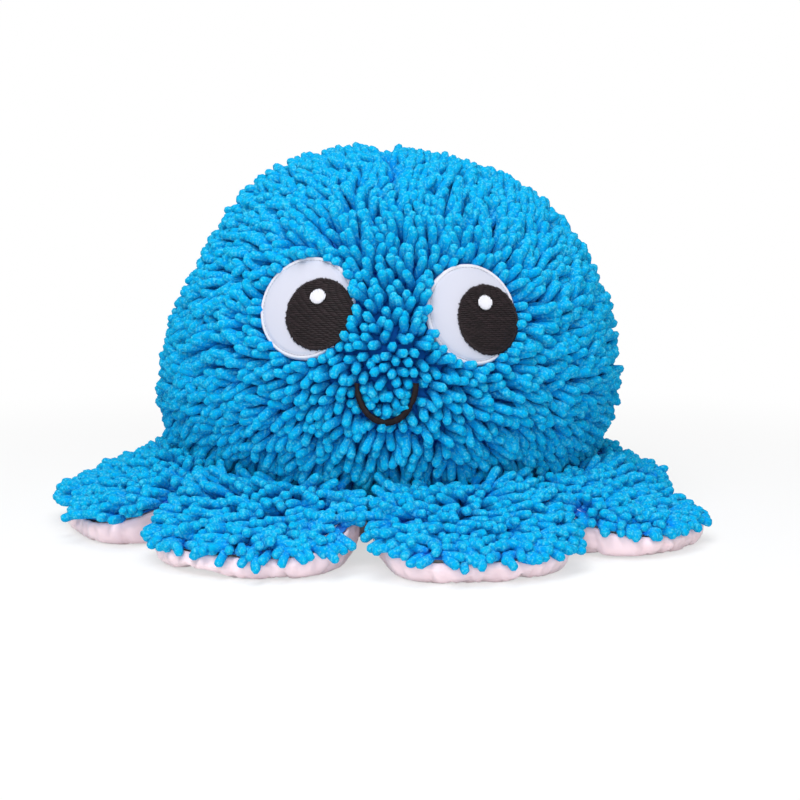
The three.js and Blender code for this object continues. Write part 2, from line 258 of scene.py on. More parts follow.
def make_chenille():
    name = "blue_chenille"
    material, graph, shader = new_material(name, 1.0, 0.22, CHENILLE_GLOSS, 0.5, CHENILLE_SHEEN)
    grain = object_noise(graph, GRAIN_SCALE)
    fuzz = object_noise(graph, FUZZ_SCALE, roughness=0.6)
    # Painted shade: each noodle darkens from its tip colour towards its shaded root colour.
    colour_with_painted_light = graph.blend_colours(point_value(graph, "along") ** ROOT_SHADE_EASE, CHENILLE_SHADED_ROOT, CHENILLE_TIP)
    # Painted highlights: pale speckles on the grain's peaks, raised on noodles of a higher random tint.
    highlight_mask = graph.clamp((grain - PEAKS_START) * GRAIN_CONTRAST + point_value(graph, "tint") * TINT_SHARE)
    # Painted shade: a deeper blue in the grain's hollows.
    hollow_shade_mask = graph.clamp((HOLLOWS_START - grain) * GRAIN_CONTRAST)
    colour_with_painted_light = graph.blend_colours(highlight_mask * HIGHLIGHT_SHARE, colour_with_painted_light, CHENILLE_PAINTED_HIGHLIGHT)
    colour_with_painted_light = graph.blend_colours(hollow_shade_mask * HOLLOW_SHADE_SHARE, colour_with_painted_light, CHENILLE_HOLLOW_SHADE)
    feed(graph, shader, "Base Color", colour_with_painted_light)
    feed_bump(graph, shader, grain + fuzz * FUZZ_SHARE, GRAIN_DEPTH, 0.9)
    return material


CHENILLE = make_chenille()
print(CHENILLE.name, len(CHENILLE.node_tree.nodes), "nodes")

# %% Chenille's ground cloth, short plush, fibre and backing
# The ground cloth is coloured as the shade between the noodles: its blue is darkened, painted shade.
GROUND_PAINTED_SHADE_BLUE = (0, 0.15, 0.56, 1)
GROUND_PAINTED_SHADE_WORN = (0, 0.12, 0.48, 1)
PINK = (0.93, 0.75, 0.79, 1)
PINK_WORN = (0.92, 0.69, 0.74, 1)
FIBRE_WHITE = (0.86, 0.85, 0.82, 1)
FIBRE_SHADE = (0.8, 0.78, 0.74, 1)
BACKING_WHITE = (0.75, 0.75, 0.72, 1)
BACKING_SHADE = (0.68, 0.68, 0.66, 1)
WEAR_SCALE = 30


def make_plain_cloth(name, colour, worn, grain_scale, depth, roughness=0.9, sheen=0.4):
    material, graph, shader = new_material(name, roughness, sheen)
    wear = object_noise(graph, WEAR_SCALE, 3.0)
    feed(graph, shader, "Base Color", graph.blend_colours(wear * 0.8 - 0.1, colour, worn))
    grain = object_noise(graph, grain_scale, 3.0, 0.6)
    feed_bump(graph, shader, grain, depth)
    feed(graph, shader, "Roughness", roughness - 0.1 + grain * 0.15)
    return material


# The ground cloth's colours carry painted shade, the dark between the noodles, mixed by random wear.
GROUND_CLOTH = make_plain_cloth("blue_ground_cloth", GROUND_PAINTED_SHADE_BLUE, GROUND_PAINTED_SHADE_WORN, 900, 0.4 * MM)
PINK_PLUSH = make_plain_cloth("pink_short_plush", PINK, PINK_WORN, 1600, 0.25 * MM, 0.88, 0.5)
FIBRE = make_plain_cloth("polyester_fibre", FIBRE_WHITE, FIBRE_SHADE, 500, 1 * MM, 1.0, 0.3)
BACKING = make_plain_cloth("embroidery_backing", BACKING_WHITE, BACKING_SHADE, 700, 0.2 * MM)
print("cloths:", [cloth.name for cloth in (GROUND_CLOTH, PINK_PLUSH, FIBRE, BACKING)])

# %% Felt and threads
FELT_WHITE = (0.53, 0.54, 0.63, 1)
# A lighter white: painted light on the felt's puffed edge, and a second tone of white thread.
FELT_LIT_EDGE_AND_THREAD_WHITE = (0.68, 0.68, 0.74, 1)
THREAD_BLACK = (0.009, 0.006, 0.007, 1)
THREAD_BROWN = (0.019, 0.012, 0.014, 1)
THREAD_WHITE = (0.72, 0.72, 0.78, 1)
THREAD_GREY = (0.33, 0.33, 0.4, 1)
THREAD_PINK = (0.72, 0.4, 0.47, 1)


def make_felt():
    """Painted light: the felt is lighter where it puffs up outside its stitched line. "rim" says where."""
    material, graph, shader = new_material("white_felt", 0.8, 0.2)
    wear = object_noise(graph, 60)
    grain = object_noise(graph, 1500, 3.0, 0.6)
    # Painted light: a lighter white outside the stitched line, where the felt puffs up.
    colour = graph.blend_colours(point_value(graph, "rim"), FELT_WHITE, FELT_LIT_EDGE_AND_THREAD_WHITE)
    feed(graph, shader, "Base Color", graph.blend_colours(wear * 0.3, colour, FELT_WHITE))
    feed_bump(graph, shader, grain, 0.12 * MM)
    return material


def make_thread(name, colour, second, roughness=0.5):
    """The stitches of one colour differ a little: each takes its own mix of two shades."""
    material, graph, shader = new_material(name, roughness, 0.0, THREAD_GLOSS)
    feed(graph, shader, "Base Color", graph.blend_colours(point_value(graph, "tint"), colour, second))
    feed_bump(graph, shader, object_noise(graph, 2600, 1.0), 0.08 * MM)
    return material


WHITE_FELT = make_felt()
BLACK_THREAD = make_thread("black_thread", THREAD_BLACK, THREAD_BROWN, 0.48)
WHITE_THREAD = make_thread("white_thread", THREAD_WHITE, FELT_LIT_EDGE_AND_THREAD_WHITE)
GREY_THREAD = make_thread("grey_thread", THREAD_GREY, FELT_WHITE)
PINK_THREAD = make_thread("pink_thread", THREAD_PINK, PINK)
print("materials:", len(bpy.data.materials))

# %% [markdown]
# ## The shape of the dome
# The model's dome is an oval of revolution, fuller at the crown. The same formula is used here, so cloth,
# eyes and stitches all follow one surface. An inset counts inwards from the tips of the pile.

# %% The dome as a function
DOME_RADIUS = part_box("right_gore")[1][0]
CROWN_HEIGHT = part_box("front_gore")[1][2]
HEM_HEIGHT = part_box("front_gore")[0][2]
WAIST_HEIGHT = 78 * MM
BASE_RADIUS = 74 * MM
CROWN_FULLNESS = 2.12
CROWN_RISE = CROWN_HEIGHT - WAIST_HEIGHT
UNDERSIDE_DROP = WAIST_HEIGHT / math.sqrt(1 - (BASE_RADIUS / DOME_RADIUS) ** 2)
WAIST = np.array((0, 0, WAIST_HEIGHT))


def unit(vectors):
    return vectors / np.maximum(np.linalg.norm(vectors, axis=-1, keepdims=True), 1e-12)


def oval(height):
    """The oval's power and its upright half axis, which differ above and below its waist."""
    above = height > 0
    return np.where(above, CROWN_FULLNESS, 2.0), np.where(above, CROWN_RISE, UNDERSIDE_DROP)


def dome_points(directions, inset):
    """Points of the dome in these directions from its waist's middle. inset is a number, or one for each."""
    d = unit(np.asarray(directions, float))
    power, half_axis = oval(d[..., 2])
    across = np.hypot(d[..., 0], d[..., 1]) / (DOME_RADIUS - inset)
    along = np.abs(d[..., 2]) / (half_axis - inset)
    reach = (across**power + along**power) ** (-1 / power)
    return WAIST + d * reach[..., None]


def face_direction(azimuth, elevation):
    """A direction from the waist's middle, by two angles in degrees. 0 and 0 face the camera."""
    azimuth, elevation = math.radians(azimuth), math.radians(elevation)
    flat = math.cos(elevation)
    return np.array((flat * math.sin(azimuth), -flat * math.cos(azimuth), math.sin(elevation)))


def dome_normals(points):
    """Outward normals, from the gradient of the oval's formula."""
    p = points - WAIST
    power, half_axis = oval(p[..., 2])
    flat = np.maximum(np.hypot(p[..., 0], p[..., 1]), 1e-9)
    outward = flat ** (power - 1) / DOME_RADIUS**power
    upward = np.sign(p[..., 2]) * np.abs(p[..., 2]) ** (power - 1) / half_axis**power
    return unit(np.stack((p[..., 0] / flat * outward, p[..., 1] / flat * outward, upward), -1))


class Place:
    """A spot on the dome, at angles in degrees, on which flat drawings in metres are laid. A soft patch
    is pulled a little narrower as it is sewn on: wide and tall are what is left of its size."""

    def __init__(self, azimuth, elevation, wide=1.0, tall=1.0):
        self.wide = wide
        self.tall = tall
        self.outward = face_direction(azimuth, elevation)
        self.across = np.array((math.cos(math.radians(azimuth)), math.sin(math.radians(azimuth)), 0.0))
        self.up = np.cross(self.outward, self.across)

    def directions(self, x, y):
        x = np.asarray(x, float)[..., None] * self.wide
        y = np.asarray(y, float)[..., None] * self.tall
        return self.outward * DOME_RADIUS + self.across * x + self.up * y

    def points(self, x, y, inset):
        return dome_points(self.directions(x, y), inset)

    def flat(self, points):
        """Where points of the dome lie in the drawing."""
        d = unit(points - WAIST)
        scale = DOME_RADIUS / np.maximum(d @ self.outward, 0.05)
        return scale * (d @ self.across) / self.wide, scale * (d @ self.up) / self.tall


print("dome radius:", round(DOME_RADIUS / MM, 1), "mm, crown:", round(CROWN_HEIGHT / MM, 1), "mm")

# %% [markdown]
# ## Plain meshes from grids
# Cloth panels are grids of points: rows that run from a hem to a crown, or rings that run from a middle to a
# rim. Two grids, one for each side of the cloth, close into one solid.


# %% Numbers for shapes
def smoothstep(low, high, value):
    share = np.clip((value - low) / (high - low), 0, 1)
    return share * share * (3 - 2 * share)


def hump(offset, reach):
    """One in the middle, and down to a third at this reach."""
    return np.exp(-((offset / reach) ** 2))


def waves(angle, seed, table):
    """Waves that run round a rim. The table says how many, how high, and how far the seed shifts them."""
    return sum(height * np.sin(angle * count + seed * shift) for count, height, shift in table)


def turns(count):
    """Angles that go once round in equal steps."""
    return np.linspace(0, 2 * math.pi, count, endpoint=False)


def on_circle(angle):
    return np.stack((np.cos(angle), np.sin(angle)), -1)


def eased_steps(count):
    """Shares from a middle to a rim that crowd together at the rim, where a cloth curves most."""
    return np.sin(np.linspace(0, math.pi / 2, count + 1))[1:]


print("shares of four eased steps:", eased_steps(4).round(2))


# %% Meshes of rings
def mesh_object(name, points, faces, material):
    mesh = bpy.data.meshes.new(name)
    mesh.from_pydata([tuple(p) for p in points], [], faces)
    mesh.validate()
    mesh.polygons.foreach_set("use_smooth", [True] * len(mesh.polygons))
    mesh.materials.append(material)
    made = bpy.data.objects.new(name, mesh)
    bpy.context.scene.collection.objects.link(made)
    return made


def band(first, second, around):
    """Faces between two rings, of which these are the first points."""
    pairs = [(i, (i + 1) % around) for i in range(around)]
    return [(first + i, second + i, second + after, first + after) for i, after in pairs]


def ring_faces(rings, around, first=0):
    """Faces of a disc: a middle point, then rings of points that run anticlockwise seen from outside."""
    faces = [(first, first + 1 + i, first + 1 + (i + 1) % around) for i in range(around)]
    for start in range(first + 1, first + 1 + (rings - 1) * around, around):
        faces += band(start, start + around, around)
    return faces


def closed_disc(name, outer, inner, material):
    """A solid between two discs. Each is a pair: its middle point, and an array of rings, points and xyz."""
    rings, around = outer[1].shape[:2]
    points = np.vstack([part.reshape(-1, 3) for part in (*outer, *inner)])
    first = 1 + rings * around
    faces = ring_faces(rings, around)
    faces += [tuple(reversed(face)) for face in ring_faces(rings, around, first)]
    faces += band(first - around, 2 * first - around, around)
    return mesh_object(name, points, faces, material)


print("a disc of 3 rings of 12 points has", len(ring_faces(3, 12)), "faces")


# %% Changing a mesh
@contextmanager
def editing(mesh):
    """Opens a mesh in bmesh, and writes back what was done to it."""
    shape = bmesh.new()
    shape.from_mesh(mesh)
    yield shape
    shape.to_mesh(mesh)
    shape.free()


def to_plain_mesh(made):
    """Replaces an object's mesh by what its modifiers make, and removes them."""
    bpy.context.view_layer.update()
    graph = bpy.context.evaluated_depsgraph_get()
    mesh = bpy.data.meshes.new_from_object(made.evaluated_get(graph))
    mesh.name = made.name
    made.modifiers.clear()
    made.data = mesh
    return made


def close_cloth(made, thickness):
    """Gives an open sheet its thickness, inwards."""
    solidify = made.modifiers.new("thickness", "SOLIDIFY")
    solidify.thickness = thickness
    solidify.offset = -1
    return to_plain_mesh(made)


def positions(made, kind="co"):
    """Where the vertices are, or with "normal" which way they face."""
    flat = np.empty(len(made.data.vertices) * 3, np.float32)
    made.data.vertices.foreach_get(kind, flat)
    return flat.reshape(-1, 3).astype(float)


def move_points(made, points):
    made.data.vertices.foreach_set("co", np.asarray(points, np.float32).ravel())
    made.data.update()


def set_attribute(mesh, name, values):
    """Gives each vertex a number, or a vector where values has rows."""
    kind, key = ("FLOAT", "value") if np.ndim(values) == 1 else ("FLOAT_VECTOR", "vector")
    mesh.attributes.new(name, kind, "POINT").data.foreach_set(key, np.asarray(values, np.float32).ravel())


def finish_piece(made, node, arm=None):
    """Says what a piece rides on, and hides the node it replaces."""
    if arm:
        arm.bend_with_body(made)
    else:
        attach(made, "body")
    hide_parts(node)
    return made


print("mesh helpers ready")

# %% [markdown]
# ## Where the face sits
# The eyes are round patches, and the mouth is half an oval. Their places come from the photo. The pile is
# parted around them, so these places are needed before the pile grows.

# %% Places of the face
EYE_RADIUS = 29 * MM
EYE_INSET = 3.5 * MM
EYES = {"left": Place(-20.9, 22.15, 0.935, 0.977), "right": Place(20.7, 20.6, 0.885, 0.956)}
PUPIL_RADIUS = 19.5 * MM
PUPIL_OVERHANG = 0.3 * MM
GAZE = math.radians(-24.3)
GAZE_SHIFT = EYE_RADIUS - PUPIL_RADIUS + PUPIL_OVERHANG
PUPIL = np.array((GAZE_SHIFT * math.cos(GAZE), GAZE_SHIFT * math.sin(GAZE)))
GLINT_RADIUS = 4.2 * MM
GLINT_TURN = math.radians(101.3)
GLINT_GAP = 6.1 * MM
GLINT_SHIFT = PUPIL_RADIUS - GLINT_RADIUS - GLINT_GAP
GLINT = PUPIL + GLINT_SHIFT * np.array((math.cos(GLINT_TURN), math.sin(GLINT_TURN)))

MOUTH = Place(0.0, 0.0)
MOUTH_HALF_WIDTH = 15 * MM
MOUTH_DEPTH = 20 * MM
MOUTH_END_HEIGHT = 11.5 * MM
MOUTH_SHIFT = -1.6 * MM


def mouth_line(shares):
    """Points of the mouth's drawing, from its left end over its lowest point to its right end."""
    angle = math.pi * (1 + np.asarray(shares, float))
    x = MOUTH_SHIFT + MOUTH_HALF_WIDTH * np.cos(angle)
    y = MOUTH_END_HEIGHT + MOUTH_DEPTH * np.sin(angle)
    return x, y


MOUTH_X, MOUTH_Y = mouth_line(np.linspace(0, 1, 60))
print("mouth length:", round(float(np.hypot(np.diff(MOUTH_X), np.diff(MOUTH_Y)).sum() / MM), 1), "mm")


# %% Distances to the face
def mouth_gap(points):
    """Distance to the mouth's line, and the direction away from it."""
    x, y = MOUTH.flat(points)
    gap_x = x[:, None] - MOUTH_X
    gap_y = y[:, None] - MOUTH_Y
    gaps = np.hypot(gap_x, gap_y)
    nearest = gaps.argmin(1)
    rows = np.arange(len(x))
    away = gap_x[rows, nearest, None] * MOUTH.across + gap_y[rows, nearest, None] * MOUTH.up
    front = (points - WAIST) @ MOUTH.outward > 0
    return np.where(front, gaps[rows, nearest], 1.0), unit(away)


def inside_mouth(points):
    x, y = MOUTH.flat(points)
    reach = np.hypot((x - MOUTH_SHIFT) / MOUTH_HALF_WIDTH, (y - MOUTH_END_HEIGHT) / MOUTH_DEPTH)
    return (reach < 1) & (y < MOUTH_END_HEIGHT)


def eye_gap(points, place):
    """Distance to an eye's edge, less than zero inside it, and the direction away from its middle."""
    x, y = place.flat(points)
    front = (points - WAIST) @ place.outward > 0
    gap = np.where(front, np.hypot(x, y) - EYE_RADIUS, 1.0)
    return gap, unit(x[:, None] * place.across + y[:, None] * place.up)


def eyes_gap(points):
    """Distance to the edge of the nearer eye."""
    return np.minimum(*(eye_gap(points, place)[0] for place in EYES.values()))


crown_gap = mouth_gap(np.array([[0, 0, CROWN_HEIGHT]]))[0][0]
print("from the mouth to the crown, as drawn:", round(float(crown_gap), 2), "m")

# %% [markdown]
# ## How the pile lies
# Handled chenille keeps the direction it was last stroked in. On this toy the noodles point at the viewer
# between the eyes and radiate from there. They part along the crown, make room for the eyes and the mouth,
# and hang down at the back. The nap is the direction in which a noodle leans. How far it leans is an angle
# from upright, one for its root and one for its tip.

# %% Strokes of the nap
FACE_MIDDLE = face_direction(0, 15)
LEFT = np.array((-1.0, 0.0, 0.0))
UP = np.array((0.0, 0.0, 1.0))
HANGING_BEHIND = (0.1, 0.75)
FRONT_END = 0.2
BROW_HEIGHT = (0.3, 0.55)
# Each stroke on the front: its side, how far aside and how high it sets in, its direction and its strength.
FRONT_STROKES = (
    (-1, (0.12, 0.35), BROW_HEIGHT, LEFT, 1.7),
    (1, (0.02, 0.25), BROW_HEIGHT, UP, 0.8),
    (1, (0.5, 0.75), (0.0, 0.25), UP, 0.5),
)
BELLY_HEIGHT = (-0.05, -0.4)
BELLY_STROKE = 1.8
PARTING_REACH = 12 * MM
PARTING_HEIGHT = (0.72, 0.88)
PARTING_END = 0.1
PARTING_STROKE = 0.7
WANDER_TURN = 0.9
WANDER_SCALE = 24
EYE_CLEARING = 9 * MM
# On which side of each eye noodles lie over its edge, as a direction in the drawing, and how many do.
COVERED_BY_PILE = {"left": (0.95, 0.31, 0.45), "right": (-0.93, -0.37, 0.05)}
COVER_EDGE = (0.3, 0.85)
MOUTH_CLEARING = 6 * MM
MOUTH_PUSH = (0.7, 1.8)


def swirl(points, scale, seed):
    """A smooth random number between about -1 and 1 at each point."""
    return np.array([noise.noise(Vector(p) * scale + Vector((seed, 0, 0))) for p in points.reshape(-1, 3)])


def tangent_part(vectors, normals):
    return vectors - normals * np.sum(vectors * normals, -1, keepdims=True)


def eye_cover(side, away):
    """Share by which noodles beside an eye lean over its edge."""
    across, up, share = COVERED_BY_PILE[side]
    place = EYES[side]
    return share * smoothstep(*COVER_EDGE, away @ (across * place.across + up * place.up))


def clear_face(nap, points, normals):
    """Turns noodles aside from the eyes and the mouth, but for those that lie over an eye's edge."""
    for side, place in EYES.items():
        gap, away = eye_gap(points, place)
        into = np.minimum(np.sum(nap * away, -1), 0)
        near = 1 - smoothstep(0, EYE_CLEARING, gap)
        covered = (eye_cover(side, away) * near)[:, None]
        nap -= away * (into * near)[:, None] * (1 - covered)
        nap = nap * (1 - covered) - away * covered
    gap, away = mouth_gap(points)
    push = np.where(inside_mouth(points), *MOUTH_PUSH) * (1 - smoothstep(0, MOUTH_CLEARING, gap))
    nap += unit(tangent_part(away, normals)) * push[:, None]
    return unit(tangent_part(nap, normals))


def dome_nap(points, normals):
    """Which way the noodles lean at each point of the cover."""
    d = unit(points - WAIST)

    def along_cloth(direction):
        return unit(tangent_part(direction + 0 * d, normals))

    nap = unit(tangent_part(d - FACE_MIDDLE, normals))
    behind = smoothstep(*HANGING_BEHIND, d[:, 1])[:, None]
    nap = nap * (1 - behind) + along_cloth(-UP) * behind
    in_front = d[:, 1] < FRONT_END
    for side, sideways, upwards, towards, strength in FRONT_STROKES:
        share = smoothstep(*sideways, side * d[:, 0]) * smoothstep(*upwards, d[:, 2]) * in_front
        nap += along_cloth(towards) * share[:, None] * strength
    nap += along_cloth(-UP) * smoothstep(*BELLY_HEIGHT, d[:, 2])[:, None] * BELLY_STROKE
    on_top = smoothstep(*PARTING_HEIGHT, d[:, 2]) * (d[:, 1] < PARTING_END)
    parting = hump(points[:, 0], PARTING_REACH) * on_top
    aside = np.sign(points[:, 0])[:, None] * -LEFT
    nap += tangent_part(aside, normals) * parting[:, None] * PARTING_STROKE
    turn = WANDER_TURN * swirl(points, WANDER_SCALE, 3.1)[:, None]
    nap = unit(nap)
    nap = nap * np.cos(turn) + np.cross(normals, nap) * np.sin(turn)
    return clear_face(nap, points, normals)


CROWN_NAP = dome_nap(np.array([[-5 * MM, 0, CROWN_HEIGHT]]), UP[None])[0]
print("nap left of the crown's parting:", CROWN_NAP.round(2))

# %% Lean of the noodles
LEAN_RANGE = (0.12, 0.8)
CALM_REACH = 0.25
ROOT_LEAN = (0.08, 0.3)
TIP_LEAN = (0.4, 0.88)
TIP_LEAN_CHANGE = 0.14
TIP_LEAN_SCALE = 30
BELLY_UPRIGHT = 0.22
LEAN_IN_MOUTH = (0.05, 0.4)
CALM_UPRIGHT = 0.6
EYE_UPRIGHT = 0.6
COVER_LEAN = 0.35
MOUTH_UPRIGHT = 0.2
# Between which distances to an eye's edge and to the mouth's line the noodles stand more upright.
BESIDE_EYE = (1 * MM, 6 * MM)
BESIDE_MOUTH = (2 * MM, 7 * MM)


def angle_from(direction, points):
    """Angle between a direction and each point's, seen from the waist's middle."""
    return np.arccos(np.clip(unit(points - WAIST) @ direction, -1, 1))


def dome_lean(points):
    """How far the noodles lean at their roots and at their tips."""
    from_middle = angle_from(FACE_MIDDLE, points)
    out = smoothstep(*LEAN_RANGE, from_middle)
    calm = 1 - smoothstep(0.0, CALM_REACH, from_middle)
    start = (ROOT_LEAN[0] + ROOT_LEAN[1] * out) * (1 - calm)
    lean = TIP_LEAN[0] + TIP_LEAN[1] * out + TIP_LEAN_CHANGE * swirl(points, TIP_LEAN_SCALE, 8.7)
    lean *= 1 - CALM_UPRIGHT * calm
    lean *= 1 - BELLY_UPRIGHT * smoothstep(*BELLY_HEIGHT, unit(points - WAIST)[:, 2])
    for side, place in EYES.items():
        gap, away = eye_gap(points, place)
        beside = 1 - smoothstep(*BESIDE_EYE, gap)
        upright = 1 - beside * (EYE_UPRIGHT - COVER_LEAN * eye_cover(side, away))
        lean *= upright
        start *= upright
    upright = 1 - MOUTH_UPRIGHT * (1 - smoothstep(*BESIDE_MOUTH, mouth_gap(points)[0]))
    inside = inside_mouth(points)
    return [np.where(inside, low, high * upright) for low, high in zip(LEAN_IN_MOUTH, (start, lean))]


print("steepest start of the nap:", round(float(dome_lean(WAIST + np.eye(3))[0].max()), 2))

# %% [markdown]
# ## Trees that grow things
# Geometry Nodes trees that repeat a shape have the same frame: geometry and a few named sizes go in, and
# one mesh of a single material comes out. A second class adds that frame to the graph, and runs the tree.


# %% A Geometry Nodes tree
KEPT_ATTRIBUTES = ("along", "tint")


class Grower(Graph):
    """A Geometry Nodes tree. sizes gives each input's key its name and its usual value."""

    def __init__(self, name, sizes):
        super().__init__(bpy.data.node_groups.new(name, "GeometryNodeTree"))
        interface = self.tree.interface
        interface.new_socket("Geometry", in_out="INPUT", socket_type="NodeSocketGeometry")
        self.identifiers = {}
        for key, (label, value) in sizes.items():
            kind = "NodeSocketInt" if isinstance(value, int) else "NodeSocketFloat"
            socket = interface.new_socket(label, in_out="INPUT", socket_type=kind)
            socket.default_value = value
            self.identifiers[key] = socket.identifier
        interface.new_socket("Geometry", in_out="OUTPUT", socket_type="NodeSocketGeometry")
        self.given = self.node("NodeGroupInput")

    def change(self, kind, geometry, values=None):
        """Adds a node that takes geometry and hands it on changed."""
        values = {"Geometry": geometry, **(values or {})}
        return self.node(f"GeometryNode{kind}", None, values)["Geometry"]

    def named(self, name, kind="FLOAT"):
        return self.node("GeometryNodeInputNamedAttribute", {"data_type": kind}, {"Name": name})["Attribute"]

    def store(self, geometry, name, value, kind="FLOAT"):
        settings = {"data_type": kind, "domain": "POINT"}
        values = {"Geometry": geometry, "Name": name, "Value": value}
        return self.node("GeometryNodeStoreNamedAttribute", settings, values)["Geometry"]

    def chance(self, low, high, seed):
        values = {2: low, 3: high, "Seed": seed}
        return self.node("FunctionNodeRandomValue", {"data_type": "FLOAT"}, values)[1]

    def spread_out(self, points, instance, values=None):
        """One copy of a shape on each point."""
        values = {"Points": points, "Instance": instance, **(values or {})}
        return self.node("GeometryNodeInstanceOnPoints", None, values)["Instances"]

    def finish(self, geometry, material):
        self.material = material
        geometry = self.change("SetShadeSmooth", geometry)
        geometry = self.change("RealizeInstances", geometry)
        geometry = self.change("SetMaterial", geometry, {"Material": material})
        self.node("NodeGroupOutput", None, {"Geometry": geometry})

    def run(self, made, attributes, sizes):
        """Gives a piece's points these attributes, and makes it the plain mesh that the tree grows."""
        for name, values in attributes.items():
            set_attribute(made.data, name, values)
        modifier = made.modifiers.new("grown", "NODES")
        modifier.node_group = self.tree
        for key, value in sizes.items():
            modifier[self.identifiers[key]] = value
        data = to_plain_mesh(made).data.attributes
        for name in [a.name for a in data if not a.is_internal and not a.is_required]:
            if name not in KEPT_ATTRIBUTES and name in data:
                data.remove(data[name])
        made.data.materials.clear()
        made.data.materials.append(self.material)
        return made


print("tree class ready")

# %% [markdown]
# ## Growing the noodles
# One tree grows any pile. It scatters roots over the cloth with an even spacing and puts a short curve on
# each root. It bends that curve from the cloth's normal into the nap, and sweeps a round section along it.
# The section swells and narrows a little, and closes into a round tip.

# %% The noodle's sizes
NOODLE_RADIUS = 2.35 * MM
NOODLE_SIZES = {
    "length": ("Noodle length", 17 * MM),
    "radius": ("Noodle radius", NOODLE_RADIUS),
    "spacing": ("Spacing", 4.2 * MM),
    "spread": ("Spread", 0.7),
    "floor": ("Lowest height", NOODLE_RADIUS),
    "seed": ("Seed", 1),
}
NOODLE_STEPS = 8
NOODLE_SIDES = 6
# What differs from one noodle to the next: the lowest and the highest value.
NOODLE_CHANCES = {
    "tint": (0.0, 1.0),
    "turn": (-1.0, 1.0),
    "first_lean": (-0.16, 0.2),
    "more_lean": (-0.3, 0.16),
    "own_length": (0.78, 1.12),
    "wave": (-0.09, 0.09),
}
FIRST_CHANCE_SEED = 11
MOST_ROOTS = 1e6
LEAST_BEND = 0.12
WAVE_PACE = 5.0
LUMP_SCALE = 230.0
KNOB_SCALE = 520.0
KNOB_HEIGHT = 0.58 * MM
TIP_CROWDING = 1.6
print("each noodle has its own", list(NOODLE_CHANCES))


# %% Roots, and the line of a noodle
def scatter_roots(g):
    """Points on the cloth, each with its own chances, and a short curve on each point."""
    values = {
        "Mesh": g.given["Geometry"],
        "Distance Min": g.given["Spacing"],
        "Density Max": MOST_ROOTS,
        "Seed": g.given["Seed"],
    }
    settings = {"distribute_method": "POISSON"}
    points = g.node("GeometryNodeDistributePointsOnFaces", settings, values)["Points"]
    points = g.store(points, "root", g.node("GeometryNodeInputPosition")["Position"], "FLOAT_VECTOR")
    for seed, (name, (low, high)) in enumerate(NOODLE_CHANCES.items(), FIRST_CHANCE_SEED):
        points = g.store(points, name, g.chance(low, high, seed))
    line = g.node("GeometryNodeCurvePrimitiveLine", None, {"End": (0, 0, 1)})["Curve"]
    line = g.node("GeometryNodeResampleCurve", None, {"Curve": line, "Count": NOODLE_STEPS})["Curve"]
    return g.change("RealizeInstances", g.spread_out(points, line))


def bent_place(g, along, length):
    """Where a noodle's point lies: it bends evenly from its root's angle to its tip's, and waves a little."""
    normal = g.vector("NORMALIZE", g.named("outward", "FLOAT_VECTOR"))
    nap = g.vector("NORMALIZE", g.named("nap", "FLOAT_VECTOR"))
    side = g.vector("CROSS_PRODUCT", normal, nap)
    turn = g.named("turn") * g.given["Spread"]
    along_nap = g.vector("SCALE", nap, scale=g.math("COSINE", turn))
    swung = g.vector("ADD", along_nap, g.vector("SCALE", side, scale=g.math("SINE", turn)))
    aside = g.vector("CROSS_PRODUCT", normal, swung)
    start = g.named("start") + g.named("first_lean")
    bend = g.math("MAXIMUM", g.named("lean") + g.named("more_lean") - start, LEAST_BEND)
    angle = start + bend * along
    forward = length * (g.math("COSINE", start) - g.math("COSINE", angle)) / bend
    upward = length * (g.math("SINE", angle) - g.math("SINE", start)) / bend
    sideways = length * g.named("wave") * g.math("SINE", along * WAVE_PACE)
    offset = g.vector("SCALE", swung, scale=forward)
    offset = g.vector("ADD", offset, g.vector("SCALE", normal, scale=upward))
    offset = g.vector("ADD", offset, g.vector("SCALE", aside, scale=sideways))
    place = g.vector("ADD", g.named("root", "FLOAT_VECTOR"), offset)
    parts = g.node("ShaderNodeSeparateXYZ", None, {"Vector": place})
    held = g.math("MAXIMUM", parts["Z"], g.given["Lowest height"])
    return g.node("ShaderNodeCombineXYZ", None, {"X": parts["X"], "Y": parts["Y"], "Z": held})["Vector"]


print("points along a noodle:", NOODLE_STEPS, "and round it:", NOODLE_SIDES)


# %% The noodle tree
def noodle_thickness(g, along, length):
    """Thin at the root, uneven on the way, and round at the tip."""
    radius = g.given["Noodle radius"]
    rounding = g.math("MINIMUM", (1 - along) * length / radius, 1.0)
    tip = (1 - (1 - rounding) ** 2 + 0.03) ** 0.5
    values = {"Scale": LUMP_SCALE, "Detail": 1.0, "W": 2.0}
    lumps = g.node("ShaderNodeTexNoise", {"noise_dimensions": "4D"}, values)["Fac"]
    root = 0.7 + 0.3 * g.math("MINIMUM", along * 4, 1.0)
    return radius * tip * (0.9 + 0.24 * lumps) * root


